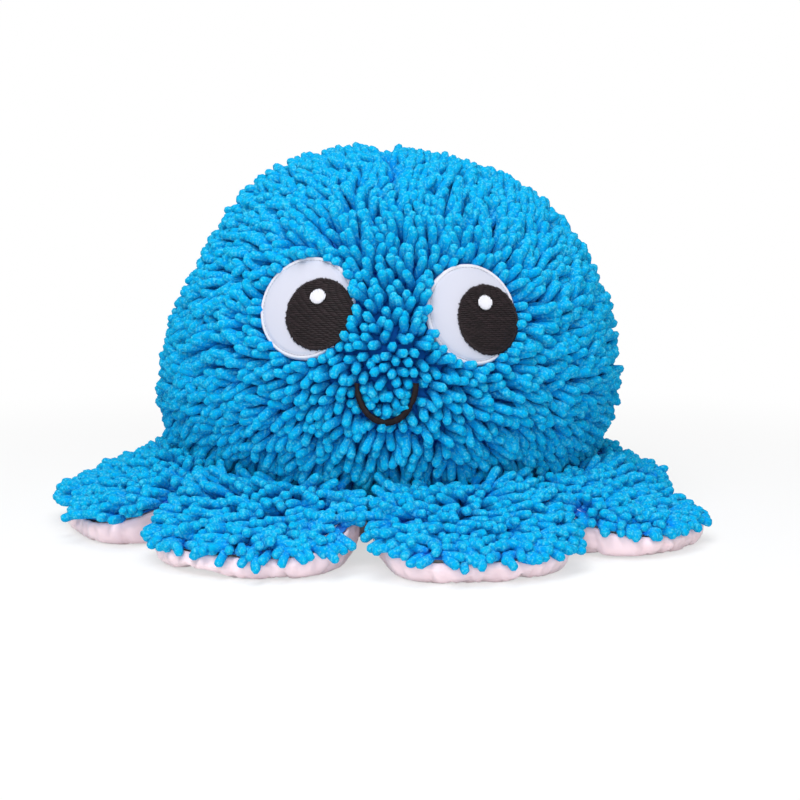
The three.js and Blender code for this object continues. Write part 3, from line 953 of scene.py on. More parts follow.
def make_noodle_tree():
    g = Grower("chenille_pile", NOODLE_SIZES)
    curves = scatter_roots(g)
    even = g.node("GeometryNodeSplineParameter")["Factor"]
    curves = g.store(curves, "along", 1 - (1 - even) ** TIP_CROWDING)
    along = g.named("along")
    length = g.given["Noodle length"] * g.named("own_length") * g.named("height")
    curves = g.change("SetPosition", curves, {"Position": bent_place(g, along, length)})
    profile = g.node("GeometryNodeCurvePrimitiveCircle", None, {"Resolution": NOODLE_SIDES, "Radius": 1.0})
    values = {
        "Curve": curves,
        "Profile Curve": profile["Curve"],
        "Scale": noodle_thickness(g, along, length),
        "Fill Caps": True,
    }
    noodles = g.node("GeometryNodeCurveToMesh", None, values)["Mesh"]
    knobs = g.node("ShaderNodeTexNoise", None, {"Scale": KNOB_SCALE, "Detail": 1.0})["Fac"]
    outward = g.node("GeometryNodeInputNormal")["Normal"]
    outward = g.vector("SCALE", outward, scale=(knobs - 0.5) * KNOB_HEIGHT)
    g.finish(g.change("SetPosition", noodles, {"Offset": outward}), CHENILLE)
    return g


NOODLES = make_noodle_tree()


def grow_pile(cloth, name, attributes, sizes):
    """Grows noodles on an open cloth, as one object. attributes is what each point asks for."""
    pile = cloth.copy()
    pile.data = cloth.data.copy()
    pile.name = name
    bpy.context.scene.collection.objects.link(pile)
    return NOODLES.run(pile, attributes, sizes)


print("noodle tree:", len(NOODLES.tree.nodes), "nodes")

# %% [markdown]
# ## Stitches
# Embroidery is hundreds of short stitches side by side. Each is a thread that rises from the cloth and dives
# back in. One tree lays such a stitch, a slim spindle, on every point of a drawing. Each point says which way
# its stitch runs, how long it is, and which way is up, so every kind of stitch shares one tree.

# %% The stitch tree
STITCH_SIDES = 6
STITCH_RINGS = 5


def make_stitch_tree(thread):
    sizes = {"width": ("Thread width", 1 * MM), "rise": ("Thread rise", 0.6 * MM), "seed": ("Seed", 3)}
    g = Grower(f"{thread.name}_stitches", sizes)
    points = g.store(g.given["Geometry"], "tint", g.chance(0.0, 1.0, g.given["Seed"]))
    values = {"Segments": STITCH_SIDES, "Rings": STITCH_RINGS, "Radius": 0.5}
    spindle = g.node("GeometryNodeMeshUVSphere", None, values)["Mesh"]
    heading, outward = (g.named(name, "FLOAT_VECTOR") for name in ("heading", "outward"))
    values = {"Primary Axis": heading, "Secondary Axis": outward}
    settings = {"primary_axis": "Z", "secondary_axis": "X"}
    turn = g.node("FunctionNodeAxesToRotation", settings, values)["Rotation"]
    values = {"X": g.given["Thread rise"], "Y": g.given["Thread width"], "Z": g.named("size")}
    size = g.node("ShaderNodeCombineXYZ", None, values)["Vector"]
    g.finish(g.spread_out(points, spindle, {"Rotation": turn, "Scale": size}), thread)
    return g


THREADS = (BLACK_THREAD, WHITE_THREAD, GREY_THREAD, PINK_THREAD)
STITCHES = {thread: make_stitch_tree(thread) for thread in THREADS}


def sew(name, thread, points, headings, outwards, lengths, width, rise):
    """Lays a stitch at each point and returns them as one object."""
    attributes = {"heading": headings, "outward": outwards, "size": lengths}
    sizes = {"width": width, "rise": rise, "seed": len(points)}
    return STITCHES[thread].run(mesh_object(name, points, [], thread), attributes, sizes)


def sew_on_dome(name, thread, place, starts, ends, inset, width, rise):
    """Stitches on the face, from the drawing's start points to its end points."""
    first = place.points(*starts.T, inset)
    last = place.points(*ends.T, inset)
    middles = (first + last) / 2
    lengths = np.linalg.norm(last - first, axis=1)
    return sew(name, thread, middles, unit(last - first), dome_normals(middles), lengths, width, rise)


print("stitch trees:", [grower.tree.name for grower in STITCHES.values()])

# %% [markdown]
# ## The body's cover
# The cover is four gores of ground cloth that meet at the crown. The cloth rises a little under the eyes and
# the mouth, where the patches are sewn on. Each gore is grown its own pile, so that it stays one sewn piece.

# %% The gores' cloth
CLOTH_INSET = 13.9 * MM
PATCH_INSET = 6.4 * MM
CLOTH_THICKNESS = 1.4 * MM
SEAM_GAP = 0.3 * MM
# Where the filling has slumped or bulged: two angles of the place, its depth, and its reach as an angle.
SLUMPS = (
    (-88, 30, 6.5 * MM, 0.38),
    (-90, 66, -2.5 * MM, 0.3),
    (90, 75, 4 * MM, 0.26),
    (-88, -14, -6 * MM, 0.28),
)
# Between which distances to an eye's edge and to the mouth's line the cloth comes up under the patches.
UNDER_EYES = (-1.5 * MM, 2.5 * MM)
UNDER_MOUTH = (0.8 * MM, 2.8 * MM)
HEM_BAND = 14 * MM
HEM_INSET = 6 * MM
HEM_SPREAD = 1.28
GORE_COLUMNS = 67
GORE_ROWS = 84
GORES = {"front": -math.pi / 2, "right": 0.0, "back": math.pi / 2, "left": math.pi}


def gore_directions(middle):
    """Directions of a gore's grid, from the hem up to just under the crown."""
    half = math.pi / 4 - SEAM_GAP / 2 / DOME_RADIUS
    azimuth = middle + np.linspace(-half, half, GORE_COLUMNS)
    hem = -math.atan2(WAIST_HEIGHT - HEM_HEIGHT, BASE_RADIUS * HEM_SPREAD)
    elevation = np.linspace(hem, math.pi / 2, GORE_ROWS + 1)[:-1]
    flat = np.cos(elevation)[:, None]
    upward = np.sin(elevation)[:, None] + 0 * azimuth
    return np.stack((flat * np.cos(azimuth), flat * np.sin(azimuth), upward), -1)


def cloth_inset(points):
    """How deep the ground cloth lies: less under the patches and at the hem, more where it has slumped."""
    under_eyes = 1 - smoothstep(*UNDER_EYES, eyes_gap(points))
    under_mouth = 1 - smoothstep(*UNDER_MOUTH, mouth_gap(points)[0])
    lift = np.maximum(under_eyes, under_mouth)
    deep = np.full(len(points), CLOTH_INSET)
    for azimuth, elevation, depth, reach in SLUMPS:
        deep += depth * hump(angle_from(face_direction(azimuth, elevation), points), reach)
    at_hem = 1 - smoothstep(HEM_HEIGHT, HEM_HEIGHT + HEM_BAND, points[:, 2])
    deep = deep + (HEM_INSET - deep) * at_hem
    return deep + (PATCH_INSET - deep) * lift


def add_gore_cloth(name, middle):
    """The open ground cloth of a gore, and its points."""
    directions = gore_directions(middle).reshape(-1, 3)
    directions = np.vstack((directions, [[0, 0, 1.0]]))
    points = dome_points(directions, cloth_inset(dome_points(directions, 0.0)))
    faces = []
    for row in range(GORE_ROWS - 1):
        for first in range(row * GORE_COLUMNS, (row + 1) * GORE_COLUMNS - 1):
            faces.append((first, first + 1, first + GORE_COLUMNS + 1, first + GORE_COLUMNS))
    crown = GORE_ROWS * GORE_COLUMNS
    faces += [(point, point + 1, crown) for point in range(crown - GORE_COLUMNS, crown - 1)]
    return mesh_object(f"{name}_gore_cloth", points, faces, GROUND_CLOTH), points


print("points of each gore:", GORE_ROWS * GORE_COLUMNS + 1)

# %% The gores' pile
# How much shorter the noodles are beside the mouth, and from where to where that fades.
MOUTH_SHORTENING = ((0.22, 3 * MM, 8 * MM), (0.34, 1.5 * MM, 4 * MM))
HEM_SHORTENING = 0.35
EYE_SHORTENING = 0.25
EYE_SHORTENING_REACH = 5 * MM
MOUTH_PARTING = 3.6 * MM
BURIED_SHARE = 0.6
LAID_ON_FELT = EYE_INSET - 0.8 * NOODLE_RADIUS
CLIMB_SHARES = (0.1, 0.5)
OVER_FELT = (-0.5 * MM, 2 * MM)
FIRST_GORE_SEED = 21


def dome_depth(points):
    """How deep points lie under the surface that the noodles' tips reach."""
    surface = dome_points(points - WAIST, 0.0)
    away = np.linalg.norm(surface - WAIST, axis=1) - np.linalg.norm(points - WAIST, axis=1)
    return away * np.sum(unit(points - WAIST) * dome_normals(surface), -1)


def dome_pile_height(points):
    """Noodles beside the face's patches and under the arms are a little shorter."""
    gap = mouth_gap(points)[0]
    shorter = sum(share * (1 - smoothstep(near, far, gap)) for share, near, far in MOUTH_SHORTENING)
    shorter += HEM_SHORTENING * (1 - smoothstep(HEM_HEIGHT, HEM_HEIGHT + HEM_BAND, points[:, 2]))
    shorter += EYE_SHORTENING * (1 - smoothstep(0, EYE_SHORTENING_REACH, eyes_gap(points)))
    return 1 - shorter


def remove_buried(pile):
    """Takes away the noodles whose roots lie under an eye or the mouth's line."""
    each = NOODLE_STEPS * NOODLE_SIDES
    roots = positions(pile).reshape(-1, each, 3)[:, :NOODLE_SIDES].mean(1)
    buried = (mouth_gap(roots)[0] < BURIED_SHARE * MOUTH_PARTING) | (eyes_gap(roots) < 0)
    with editing(pile.data) as shape:
        shape.verts.ensure_lookup_table()
        gone = [shape.verts[i] for i in np.nonzero(np.repeat(buried, each))[0]]
        bmesh.ops.delete(shape, geom=gone, context="VERTS")


def make_way_for_face(pile):
    """Moves whole cross-sections of noodles aside from the mouth, and up onto the felt over the eyes."""
    remove_buried(pile)
    sections = positions(pile).reshape(-1, NOODLE_SIDES, 3)
    middles = sections.mean(1)
    gap, away = mouth_gap(middles)
    shift = away * np.clip(MOUTH_PARTING - gap, 0, None)[:, None]
    climb = smoothstep(*CLIMB_SHARES, np.linspace(0, 1, NOODLE_STEPS))
    climb = np.tile(climb, len(middles) // NOODLE_STEPS)
    over = climb * (1 - smoothstep(*OVER_FELT, eyes_gap(middles)))
    too_deep = np.clip(dome_depth(middles) - LAID_ON_FELT, 0, None)
    shift += dome_normals(middles) * (too_deep * over)[:, None]
    move_points(pile, (sections + shift[:, None]).reshape(-1, 3))


for seed, (gore, middle) in enumerate(GORES.items(), FIRST_GORE_SEED):
    cloth, points = add_gore_cloth(gore, middle)
    normals = dome_normals(points)
    start, lean = dome_lean(points)
    attributes = {
        "outward": normals,
        "nap": dome_nap(points, normals),
        "start": start,
        "lean": lean,
        "height": dome_pile_height(points),
    }
    pile = grow_pile(cloth, f"{gore}_gore_pile", attributes, {"seed": seed})
    make_way_for_face(pile)
    close_cloth(cloth, CLOTH_THICKNESS)
    finish_piece(cloth, f"{gore}_gore")
    finish_piece(pile, f"{gore}_gore")
    print(gore, "gore:", len(pile.data.polygons), "faces of pile")

# %% [markdown]
# ## The arms
# An arm is a flat stuffed petal: chenille above, pink plush below, joined by a seam round its rim. The
# outline is the same as in the model. The arms stand at uneven turns, so each is as wide as its place allows,
# and one is shorter than the rest. A flat pad of fibre fills the space between the two cloths.

# %% The arm's sizes
ARM_LENGTH = 73 * MM
ARM_LENGTH_SHARES = {"arm_2": 0.78}
ARM_WIDEST = 34 * MM
ARM_ROOT = -1 * MM
ARM_ROOT_TUCK = 8 * MM
ARM_SIDE_GAP = 7.7 * MM
ARM_ROOT_HEIGHT = 33 * MM
ARM_TIP_HEIGHT = 12 * MM
SEAM_CURVE = 1.9
SEAM_LIP = 1.55 * MM
ROOT_LIP = 1.5
ROOT_LIP_REACH = 18 * MM
ARM_LOFT = 14.5 * MM
ARM_ROOT_LOFT = 1.2 * MM
ARM_LOFT_SHARE = 0.42
ARM_FLAT_SHARE = 0.56
ARM_TOP_SHARE = 0.15
ARM_LUMPS = 1.2 * MM
ARM_LUMP_PACES = (70, 60)
TOP_ROUNDNESS = 2.3
EDGE_ROUNDNESS = 2.4
NOSE_POWER = 2.35
ROOT_POWER = 3.0
OUTLINE_DENTS = 0.9 * MM
DENT_WAVES = ((3, 0.6, 2), (5, 0.4, -3))
DENTS_BEHIND = 0.3
ROOT_MARGIN_SHARE = 0.3
# The cloth ends this far inside the model's outline, at the nose and on the far side.
NOSE_MARGIN = 4.5 * MM
NOSE_MARGINS = {"arm_1": 2 * MM, "arm_2": 18 * MM, "arm_6": 9 * MM, "arm_8": 2 * MM}
FAR_SIDE_MARGINS = {"arm_1": 9 * MM, "arm_2": 10 * MM}
BEND_START = -2 * MM
BEND_END = 25 * MM
ARM_SEGMENTS = 132
ARM_RINGS = 20
RING_STEPS = eased_steps(ARM_RINGS)
DISC_SHARES = np.concatenate(([0.0], np.repeat(RING_STEPS, ARM_SEGMENTS)))
JOINTS = {joint["child"]: joint for joint in frame["record"]["behaviour"]["joints"]}
print("a disc of an arm has", len(DISC_SHARES), "points")


# %% The arm's form
def turn_of(joint):
    return math.atan2(joint["pos_m"][1], joint["pos_m"][0])


class ArmShape:
    """One arm in its own frame: x runs outwards from the hinge line, y along it, and z up from the floor."""

    def __init__(self, name, seed):
        self.name = name
        self.seed = seed
        self.hinge = np.array(JOINTS[name]["pos_m"])
        self.yaw = turn_of(JOINTS[name])
        share = ARM_LENGTH_SHARES.get(name, 1.0)
        self.length = ARM_LENGTH * share
        self.widest = ARM_ROOT + ARM_WIDEST * share
        self.nose_margin = NOSE_MARGINS.get(name, NOSE_MARGIN)
        reach = math.hypot(self.hinge[0], self.hinge[1]) + self.widest
        self.half_width = reach * math.tan(self.nearer_turn() / 2) - ARM_SIDE_GAP

    def nearer_turn(self):
        """The smaller of the two angles to the neighbours. The smallest of all is the arm's own, zero."""
        apart = [abs(turn_of(joint) - self.yaw) for joint in JOINTS.values()]
        return sorted(min(turn, 2 * math.pi - turn) for turn in apart)[1]

    def outline(self, margin):
        """The rim as seen from above, this far inside the model's."""
        angle = turns(ARM_SEGMENTS)
        c = np.cos(angle)
        s = np.sin(angle)
        nose = c > 0
        power = np.where(nose, NOSE_POWER, ROOT_POWER)
        to_nose = self.length + ARM_ROOT - self.widest
        to_root = self.widest - ARM_ROOT + ARM_ROOT_TUCK
        dents = waves(angle, self.seed, DENT_WAVES)
        margin = margin + self.nose_margin * np.clip(c, 0, 1) ** 2
        margin += OUTLINE_DENTS * (1 + dents) * np.clip(c + DENTS_BEHIND, 0, 1)
        x = self.widest + (np.where(nose, to_nose, to_root) - margin) * np.sign(c) * np.abs(c) ** (2 / power)
        side_margin = margin + FAR_SIDE_MARGINS.get(self.name, 0) * np.clip(s, 0, 1)
        y = (self.half_width - side_margin) * np.sign(s) * np.abs(s) ** (2 / power)
        edge = ARM_ROOT + np.sqrt(DOME_RADIUS**2 - y**2) - DOME_RADIUS
        return np.maximum(x, edge + margin * ROOT_MARGIN_SHARE), y

    def seam_height(self, x):
        left = np.clip(1 - (x - ARM_ROOT) / self.length, 0, 1)
        return ARM_TIP_HEIGHT + (ARM_ROOT_HEIGHT - ARM_TIP_HEIGHT) * left**SEAM_CURVE

    def top_height(self, x, y, share):
        rise = np.clip((x - ARM_ROOT) / (self.length * ARM_LOFT_SHARE), 0, 1)
        loft = ARM_ROOT_LOFT + (ARM_LOFT - ARM_ROOT_LOFT) * np.sin(rise * math.pi / 2)
        lengthwise, crosswise = ARM_LUMP_PACES
        lump = ARM_LUMPS * np.sin(x * lengthwise + self.seed) * np.cos(y * crosswise - self.seed)
        swell = (1 - np.minimum(share, 1) ** TOP_ROUNDNESS) ** (1 / TOP_ROUNDNESS)
        return self.seam_height(x) + (ARM_TOP_SHARE * loft + lump) * swell

    def bottom_height(self, x, y, share):
        beyond = np.clip((share - ARM_FLAT_SHARE) / (1 - ARM_FLAT_SHARE), 0, 1)
        lip = SEAM_LIP * (1 + ROOT_LIP * (1 - smoothstep(0, ROOT_LIP_REACH, x)))
        return (self.seam_height(x) - lip) * (1 - np.sqrt(1 - beyond**EDGE_ROUNDNESS))

    def disc(self, margin, height_at):
        """A disc over the arm's outline: its middle point and its rings."""
        x, y = self.outline(margin)
        ring_x = self.widest + (x - self.widest) * RING_STEPS[:, None]
        ring_y = y * RING_STEPS[:, None]
        z = height_at(ring_x, ring_y, RING_STEPS[:, None] + 0 * x)
        zero = np.array(0.0)
        middle = np.array((self.widest, 0.0, height_at(zero + self.widest, zero, zero)))
        return middle, np.stack((ring_x, ring_y, z), -1)

    def place(self, made):
        """Moves a piece from the arm's own frame to its place at the body."""
        points = positions(made)
        c, s = math.cos(self.yaw), math.sin(self.yaw)
        x, y, z = points.T
        turned = np.stack((c * x - s * y, s * x + c * y, z), -1)
        turned[:, :2] += self.hinge[:2]
        move_points(made, turned)

    def bend_with_body(self, made):
        """Near the seam the cloth follows the body, and further out the arm."""
        outwards = np.array((math.cos(self.yaw), math.sin(self.yaw), 0.0))
        start = self.hinge + outwards * BEND_START
        end = self.hinge + outwards * BEND_END
        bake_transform(made, "body", self.name, tuple(start), tuple(end))


ARMS = [ArmShape(f"arm_{number}", number * 1.7) for number in range(1, len(JOINTS) + 1)]
for arm in ARMS:
    print(arm.name, "turn:", round(math.degrees(arm.yaw)), "half width:", round(arm.half_width / MM), "mm")

# %% [markdown]
# ## The pink undersides
# The pink plush is cut larger than the rim that it is sewn to, so it bulges and puckers along the seam. That
# is a job for the cloth simulation. A sheet with too much cloth for its rim is pinned at the rim and in the
# middle, where the arm rests on the floor. A little pressure from the filling pushes the spare cloth into
# folds. All eight sheets settle in the same few frames, and no point may travel far.

# %% The sheets before they settle
UNDERSIDE_MARGIN = 1.2 * MM
SIDE_BULGE = 0.8 * MM
NOSE_BULGE_SHARE = 0.75
NOSE_BULGE_LIMIT = 5.5 * MM
START_FOLD = 0.35 * MM
FOLDED_SHARES = (0.6, 0.97)
FOLD_WAVES = ((23, 1, 1), (37, 0.8, -2), (11, 0.5, 3))


def add_underside(arm):
    middle, rings = arm.disc(UNDERSIDE_MARGIN, arm.bottom_height)
    x = rings[..., 0] - arm.widest
    y = rings[..., 1]
    turn = np.arctan2(y, x)
    folded = smoothstep(*FOLDED_SHARES, RING_STEPS)[:, None]
    start_fold = START_FOLD * waves(turn, arm.seed, FOLD_WAVES) * folded
    height = np.clip(rings[..., 2] / rings[-1, :, 2], 0, 1)
    at_nose = min(arm.nose_margin * NOSE_BULGE_SHARE, NOSE_BULGE_LIMIT)
    bulge = (SIDE_BULGE + at_nose * np.clip(np.cos(turn), 0, 1) ** 2) * np.sin(math.pi * height**0.8)
    outward = unit(np.stack((x, y, 0 * turn), -1))
    rings = rings + outward * (start_fold + bulge)[..., None]
    points = np.vstack((middle, rings.reshape(-1, 3)))
    faces = [tuple(reversed(face)) for face in ring_faces(ARM_RINGS, ARM_SEGMENTS)]
    return mesh_object(f"{arm.name}_underside_cloth", points, faces, PINK_PLUSH)


UNDERSIDES = [add_underside(arm) for arm in ARMS]
print("sheets:", len(UNDERSIDES))

# %% Undersides settled by simulation
UNDERSIDE_THICKNESS = 1.6 * MM
PINNED_SHARE = 0.42
PINNED_RIM = 0.995
SETTLE_FRAMES = 18
PUFF_LIMIT = 4.5 * MM
# A shrink factor below zero gives a sheet more cloth than its rim has room for.
CLOTH_SETTINGS = {
    "quality": 6,
    "mass": 0.05,
    "bending_stiffness": 0.02,
    "shrink_min": -0.09,
    "use_pressure": True,
    "uniform_pressure_force": 0.5,
}


def give_cloth(sheet):
    """Adds the simulation: pinned rim and middle, spare cloth between them, no gravity."""
    group = sheet.vertex_groups.new(name="held")
    held = np.nonzero((DISC_SHARES < PINNED_SHARE) | (DISC_SHARES > PINNED_RIM))[0]
    group.add([int(i) for i in held], 1.0, "REPLACE")
    cloth = sheet.modifiers.new("cloth", "CLOTH")
    for setting, value in CLOTH_SETTINGS.items():
        setattr(cloth.settings, setting, value)
    cloth.settings.vertex_group_mass = group.name
    cloth.settings.effector_weights.gravity = 0
    cloth.point_cache.frame_start = 1
    cloth.point_cache.frame_end = SETTLE_FRAMES


def lay_on_floor(made, points):
    """Moves the points, and lifts those that would be under the floor."""
    points[:, 2] = np.maximum(points[:, 2], 0)
    move_points(made, points)


def settle(sheets):
    """Runs the simulation of all sheets, keeps what it made, and holds each point near its start."""
    starts = [positions(sheet) for sheet in sheets]
    for sheet in sheets:
        give_cloth(sheet)
    for step in range(1, SETTLE_FRAMES + 1):
        bpy.context.scene.frame_set(step)
    for sheet, start in zip(sheets, starts):
        to_plain_mesh(sheet)
        sheet.vertex_groups.clear()
        way = positions(sheet) - start
        far = np.linalg.norm(way, axis=1, keepdims=True)
        lay_on_floor(sheet, start + way * np.minimum(1, PUFF_LIMIT / np.maximum(far, 1e-9)))
        print(sheet.name, "moved up to", round(float(far.max()) / MM, 2), "mm")
    bpy.context.scene.frame_set(1)


settle(UNDERSIDES)
for arm, underside in zip(ARMS, UNDERSIDES):
    close_cloth(underside, UNDERSIDE_THICKNESS)
    lay_on_floor(underside, positions(underside))
    arm.place(underside)
    finish_piece(underside, f"{arm.name}_underside", arm)

# %% [markdown]
# ## The arms' chenille and filling
# The noodles on the arms have been pressed flat by handling: they lie like shingles and point outwards. Only
# near the body do they still stand up. At the rim they droop over the pink cloth.

# %% Arm tops with their pile
ARM_CLOTH_MARGIN = 1.5 * MM
ARM_NOODLES = {"length": 17 * MM, "spacing": 3.8 * MM, "spread": 1.35}
ARM_LEAN = (1.15, 0.35)
ARM_LEAN_CHANGE = 0.12
ARM_LEAN_SCALE = 40
ARM_START = (0.5, 0.6)
LYING_FROM = 32 * MM
NAP_SOURCE = -14 * MM
NAP_SIDEWAYS = 1.45
ARM_WANDER_TURN = 0.8
ARM_WANDER_SCALE = 30
DROOP_SHARES = (0.7, 0.97)
PILE_DROOPS = {"arm_6": 0.15, "arm_8": 0.8}
PILE_HEIGHTS = {"arm_1": 0.85, "arm_2": 0.66, "arm_5": 0.82}
RIM_SHORTENING = 0.2
RIM_SHARES = (0.85, 1.0)
TIP_SHORTENING = 0.15
TIP_REACH = (30 * MM, 60 * MM)
FIRST_ARM_SEED = 40


def arm_nap(arm, points):
    """Away from the root, in the arm's own frame, and down over the rim."""
    away = unit(np.stack((points[:, 0] - NAP_SOURCE, points[:, 1] * NAP_SIDEWAYS, 0 * points[:, 0]), -1))
    turn = ARM_WANDER_TURN * swirl(points + arm.seed, ARM_WANDER_SCALE, 5.0)
    turned = np.stack((-away[:, 1], away[:, 0], 0 * turn), -1)
    nap = away * np.cos(turn)[:, None] + turned * np.sin(turn)[:, None]
    nap[:, 2] = -PILE_DROOPS.get(arm.name, 1.0) * smoothstep(*DROOP_SHARES, DISC_SHARES)
    return unit(nap)


def arm_pile_height(arm, points):
    """Noodles at the rim and towards the nose are a little shorter, and on some arms all of them are."""
    at_rim = RIM_SHORTENING * smoothstep(*RIM_SHARES, DISC_SHARES)
    at_tip = TIP_SHORTENING * smoothstep(*TIP_REACH, points[:, 0])
    return PILE_HEIGHTS.get(arm.name, 1.0) * (1 - at_rim - at_tip)


def add_arm_top(arm, number):
    middle, rings = arm.disc(ARM_CLOTH_MARGIN, arm.top_height)
    points = np.vstack((middle, rings.reshape(-1, 3)))
    cloth = mesh_object(f"{arm.name}_top_cloth", points, ring_faces(ARM_RINGS, ARM_SEGMENTS), GROUND_CLOTH)
    out = smoothstep(0, LYING_FROM, points[:, 0])
    change = ARM_LEAN_CHANGE * swirl(points + number, ARM_LEAN_SCALE, 2.0)
    attributes = {
        "outward": positions(cloth, "normal"),
        "nap": arm_nap(arm, points),
        "lean": ARM_LEAN[0] + ARM_LEAN[1] * out + change,
        "start": ARM_START[0] + ARM_START[1] * out,
        "height": arm_pile_height(arm, points),
    }
    pile = grow_pile(cloth, f"{arm.name}_pile", attributes, {"seed": FIRST_ARM_SEED + number, **ARM_NOODLES})
    return close_cloth(cloth, CLOTH_THICKNESS), pile


print("noodles of an arm:", ARM_NOODLES)

# %% The arms' fibre
FILLING_MARGIN = 7 * MM
FILLING_BELOW_TOP = 3 * MM
FILLING_ABOVE_BOTTOM = 2.5 * MM
LEAST_FILLING = 3 * MM


def add_arm_filling(arm):
    def top(x, y, share):
        below_cloth = arm.top_height(x, y, share) - FILLING_BELOW_TOP
        return np.maximum(below_cloth, arm.bottom_height(x, y, share) + LEAST_FILLING)

    def bottom(x, y, share):
        return arm.bottom_height(x, y, share) + FILLING_ABOVE_BOTTOM

    discs = [arm.disc(FILLING_MARGIN, height) for height in (top, bottom)]
    return closed_disc(f"{arm.name}_fibre", *discs, FIBRE)


for number, arm in enumerate(ARMS, 1):
    cloth, pile = add_arm_top(arm, number)
    fibre = add_arm_filling(arm)
    for made in (cloth, pile, fibre):
        arm.place(made)
    finish_piece(cloth, f"{arm.name}_top", arm)
    finish_piece(pile, f"{arm.name}_top", arm)
    finish_piece(fibre, f"{arm.name}_filling", arm)
    print(arm.name, "pile:", len(pile.data.polygons), "faces")

# %% [markdown]
# ## The eyes
# Each eye is a felt disc, sewn down by a thin grey thread just inside its edge, so the edge puffs up. The
# pupil is filled with rows of stitches, and a border of slanted ones frays a little into the felt. The glint
# is a small spot of satin stitches.

# %% Felt
EYE_GRID = (22, 96)
SEAM_INSIDE = 2.6 * MM
RIM_STARTS = (-0.3 * MM, 0.2 * MM)
GROOVE_DEPTH = 0.55 * MM
GROOVE_REACH = 0.6 * MM
EDGE_ROLL = 2.2 * MM
EDGE_ROLL_REACH = 1.2 * MM
FELT_BACK_INSET = 6 * MM
FELT_TRIM = 0.05
TRIM_REACH = 0.62


def face_patch(name, place, radius, insets, material, middle=(0.0, 0.0), grid=EYE_GRID, cut=0.0):
    """A round solid on the face, from an outer inset to an inner one. Each is a number, or a function of the
    distance to the middle. cut is the share that is trimmed off the edge where the pupil meets it."""
    rings, around = grid
    angle = turns(around)
    reach = radius * eased_steps(rings)[:, None] + 0 * angle
    turn = (angle - GAZE + math.pi) % (2 * math.pi) - math.pi
    trimmed = reach * (1 - cut * np.exp(-((turn / TRIM_REACH) ** 4)))
    x = middle[0] + trimmed * np.cos(angle)
    y = middle[1] + trimmed * np.sin(angle)
    discs = []
    for inset in insets:
        profile = inset if callable(inset) else lambda reach, inset=inset: inset + 0 * reach
        discs.append((place.points(*middle, profile(np.array(0.0))), place.points(x, y, profile(reach))))
    return closed_disc(name, *discs, material)


def felt_profile(reach):
    """Inset of the felt's face: a groove where it is stitched down, and an edge that rolls away."""
    groove = GROOVE_DEPTH * hump(reach - EYE_RADIUS + SEAM_INSIDE, GROOVE_REACH)
    roll = EDGE_ROLL * smoothstep(EYE_RADIUS - EDGE_ROLL_REACH, EYE_RADIUS, reach) ** 2
    return EYE_INSET + groove + roll


def add_felt(side, place):
    insets = (felt_profile, FELT_BACK_INSET)
    felt = face_patch(f"{side}_eye_felt", place, EYE_RADIUS, insets, WHITE_FELT, cut=FELT_TRIM)
    rings, around = EYE_GRID
    reach = np.concatenate(([0.0], np.repeat(EYE_RADIUS * eased_steps(rings), around)))
    seam = EYE_RADIUS - SEAM_INSIDE
    rim = smoothstep(seam + RIM_STARTS[0], seam + RIM_STARTS[1], reach)
    set_attribute(felt.data, "rim", np.concatenate((rim, rim)))
    return finish_piece(felt, f"{side}_eye_white")


print("felt at its middle and its edge:", felt_profile(np.array((0, EYE_RADIUS))).round(4))

# %% Backing
BACKING_MARGIN = 3 * MM
BACKING_THICKNESS = 0.7 * MM
BACKING_INSET = CLOTH_INSET + CLOTH_THICKNESS + 0.3 * MM
BACKING_AROUND = 60
BACKING_RINGS = 12


def add_backing(name, place, middle, half_size):
    """The stiff patch inside the cover."""
    (x, y), (wide, tall) = middle, half_size
    angle = turns(BACKING_AROUND)
    shares = np.linspace(0, 1, BACKING_RINGS + 1)[1:, None]
    rings = (x + wide * shares * np.cos(angle), y + tall * shares * np.sin(angle))
    insets = (BACKING_INSET, BACKING_INSET + BACKING_THICKNESS)
    sides = [(place.points(x, y, inset), place.points(*rings, inset)) for inset in insets]
    backing = closed_disc(f"{name}_backing_sheet", *sides, BACKING)
    return finish_piece(backing, f"{name}_backing")


for side, place in EYES.items():
    reach = EYE_RADIUS + BACKING_MARGIN
    felt = add_felt(side, place)
    backing = add_backing(f"{side}_eye", place, (0.0, 0.0), (reach, reach))
    print(felt.name, "and", backing.name)

# %% Rows and borders of stitches
FILL_PITCH = 1.08 * MM
FILL_LENGTH = 4.4 * MM
FILL_OVERLAP = 0.25 * MM
FILL_WAVE = 0.12 * MM
WAVE_STEP = 260
FILL_WANDER = 0.12
FILL_STAGGER = 3
SHORTEST_FILL = 1.2 * MM
BORDER_UNEVEN = (0.8, 1.15)
BORDER_FRAY = (0.15, 0.45)
BORDER_INWARDS = 0.62


def fill_rows(radius, rng):
    """Rows of stitches across a circle. Each row starts a third of a stitch further along than the last."""
    starts, ends = [], []
    rows = int(2 * radius / FILL_PITCH)
    for row in range(rows + 1):
        y = -radius + (row + 0.5) * FILL_PITCH
        if abs(y) >= radius:
            continue
        half = math.sqrt(radius**2 - y**2)
        cuts = np.arange(-half - FILL_LENGTH * (row % FILL_STAGGER) / FILL_STAGGER, half, FILL_LENGTH)
        cuts = np.clip(np.append(cuts, half), -half, half)
        for left, right in zip(cuts[:-1], cuts[1:]):
            if right - left > SHORTEST_FILL:
                tilt = rng.uniform(-FILL_WANDER, FILL_WANDER, 2) * MM
                first, last = y + tilt + FILL_WAVE * np.sin(np.array((left, right)) * WAVE_STEP + row / 2)
                starts.append((left - FILL_OVERLAP, first))
                ends.append((right + FILL_OVERLAP, last))
    return np.array(starts), np.array(ends)


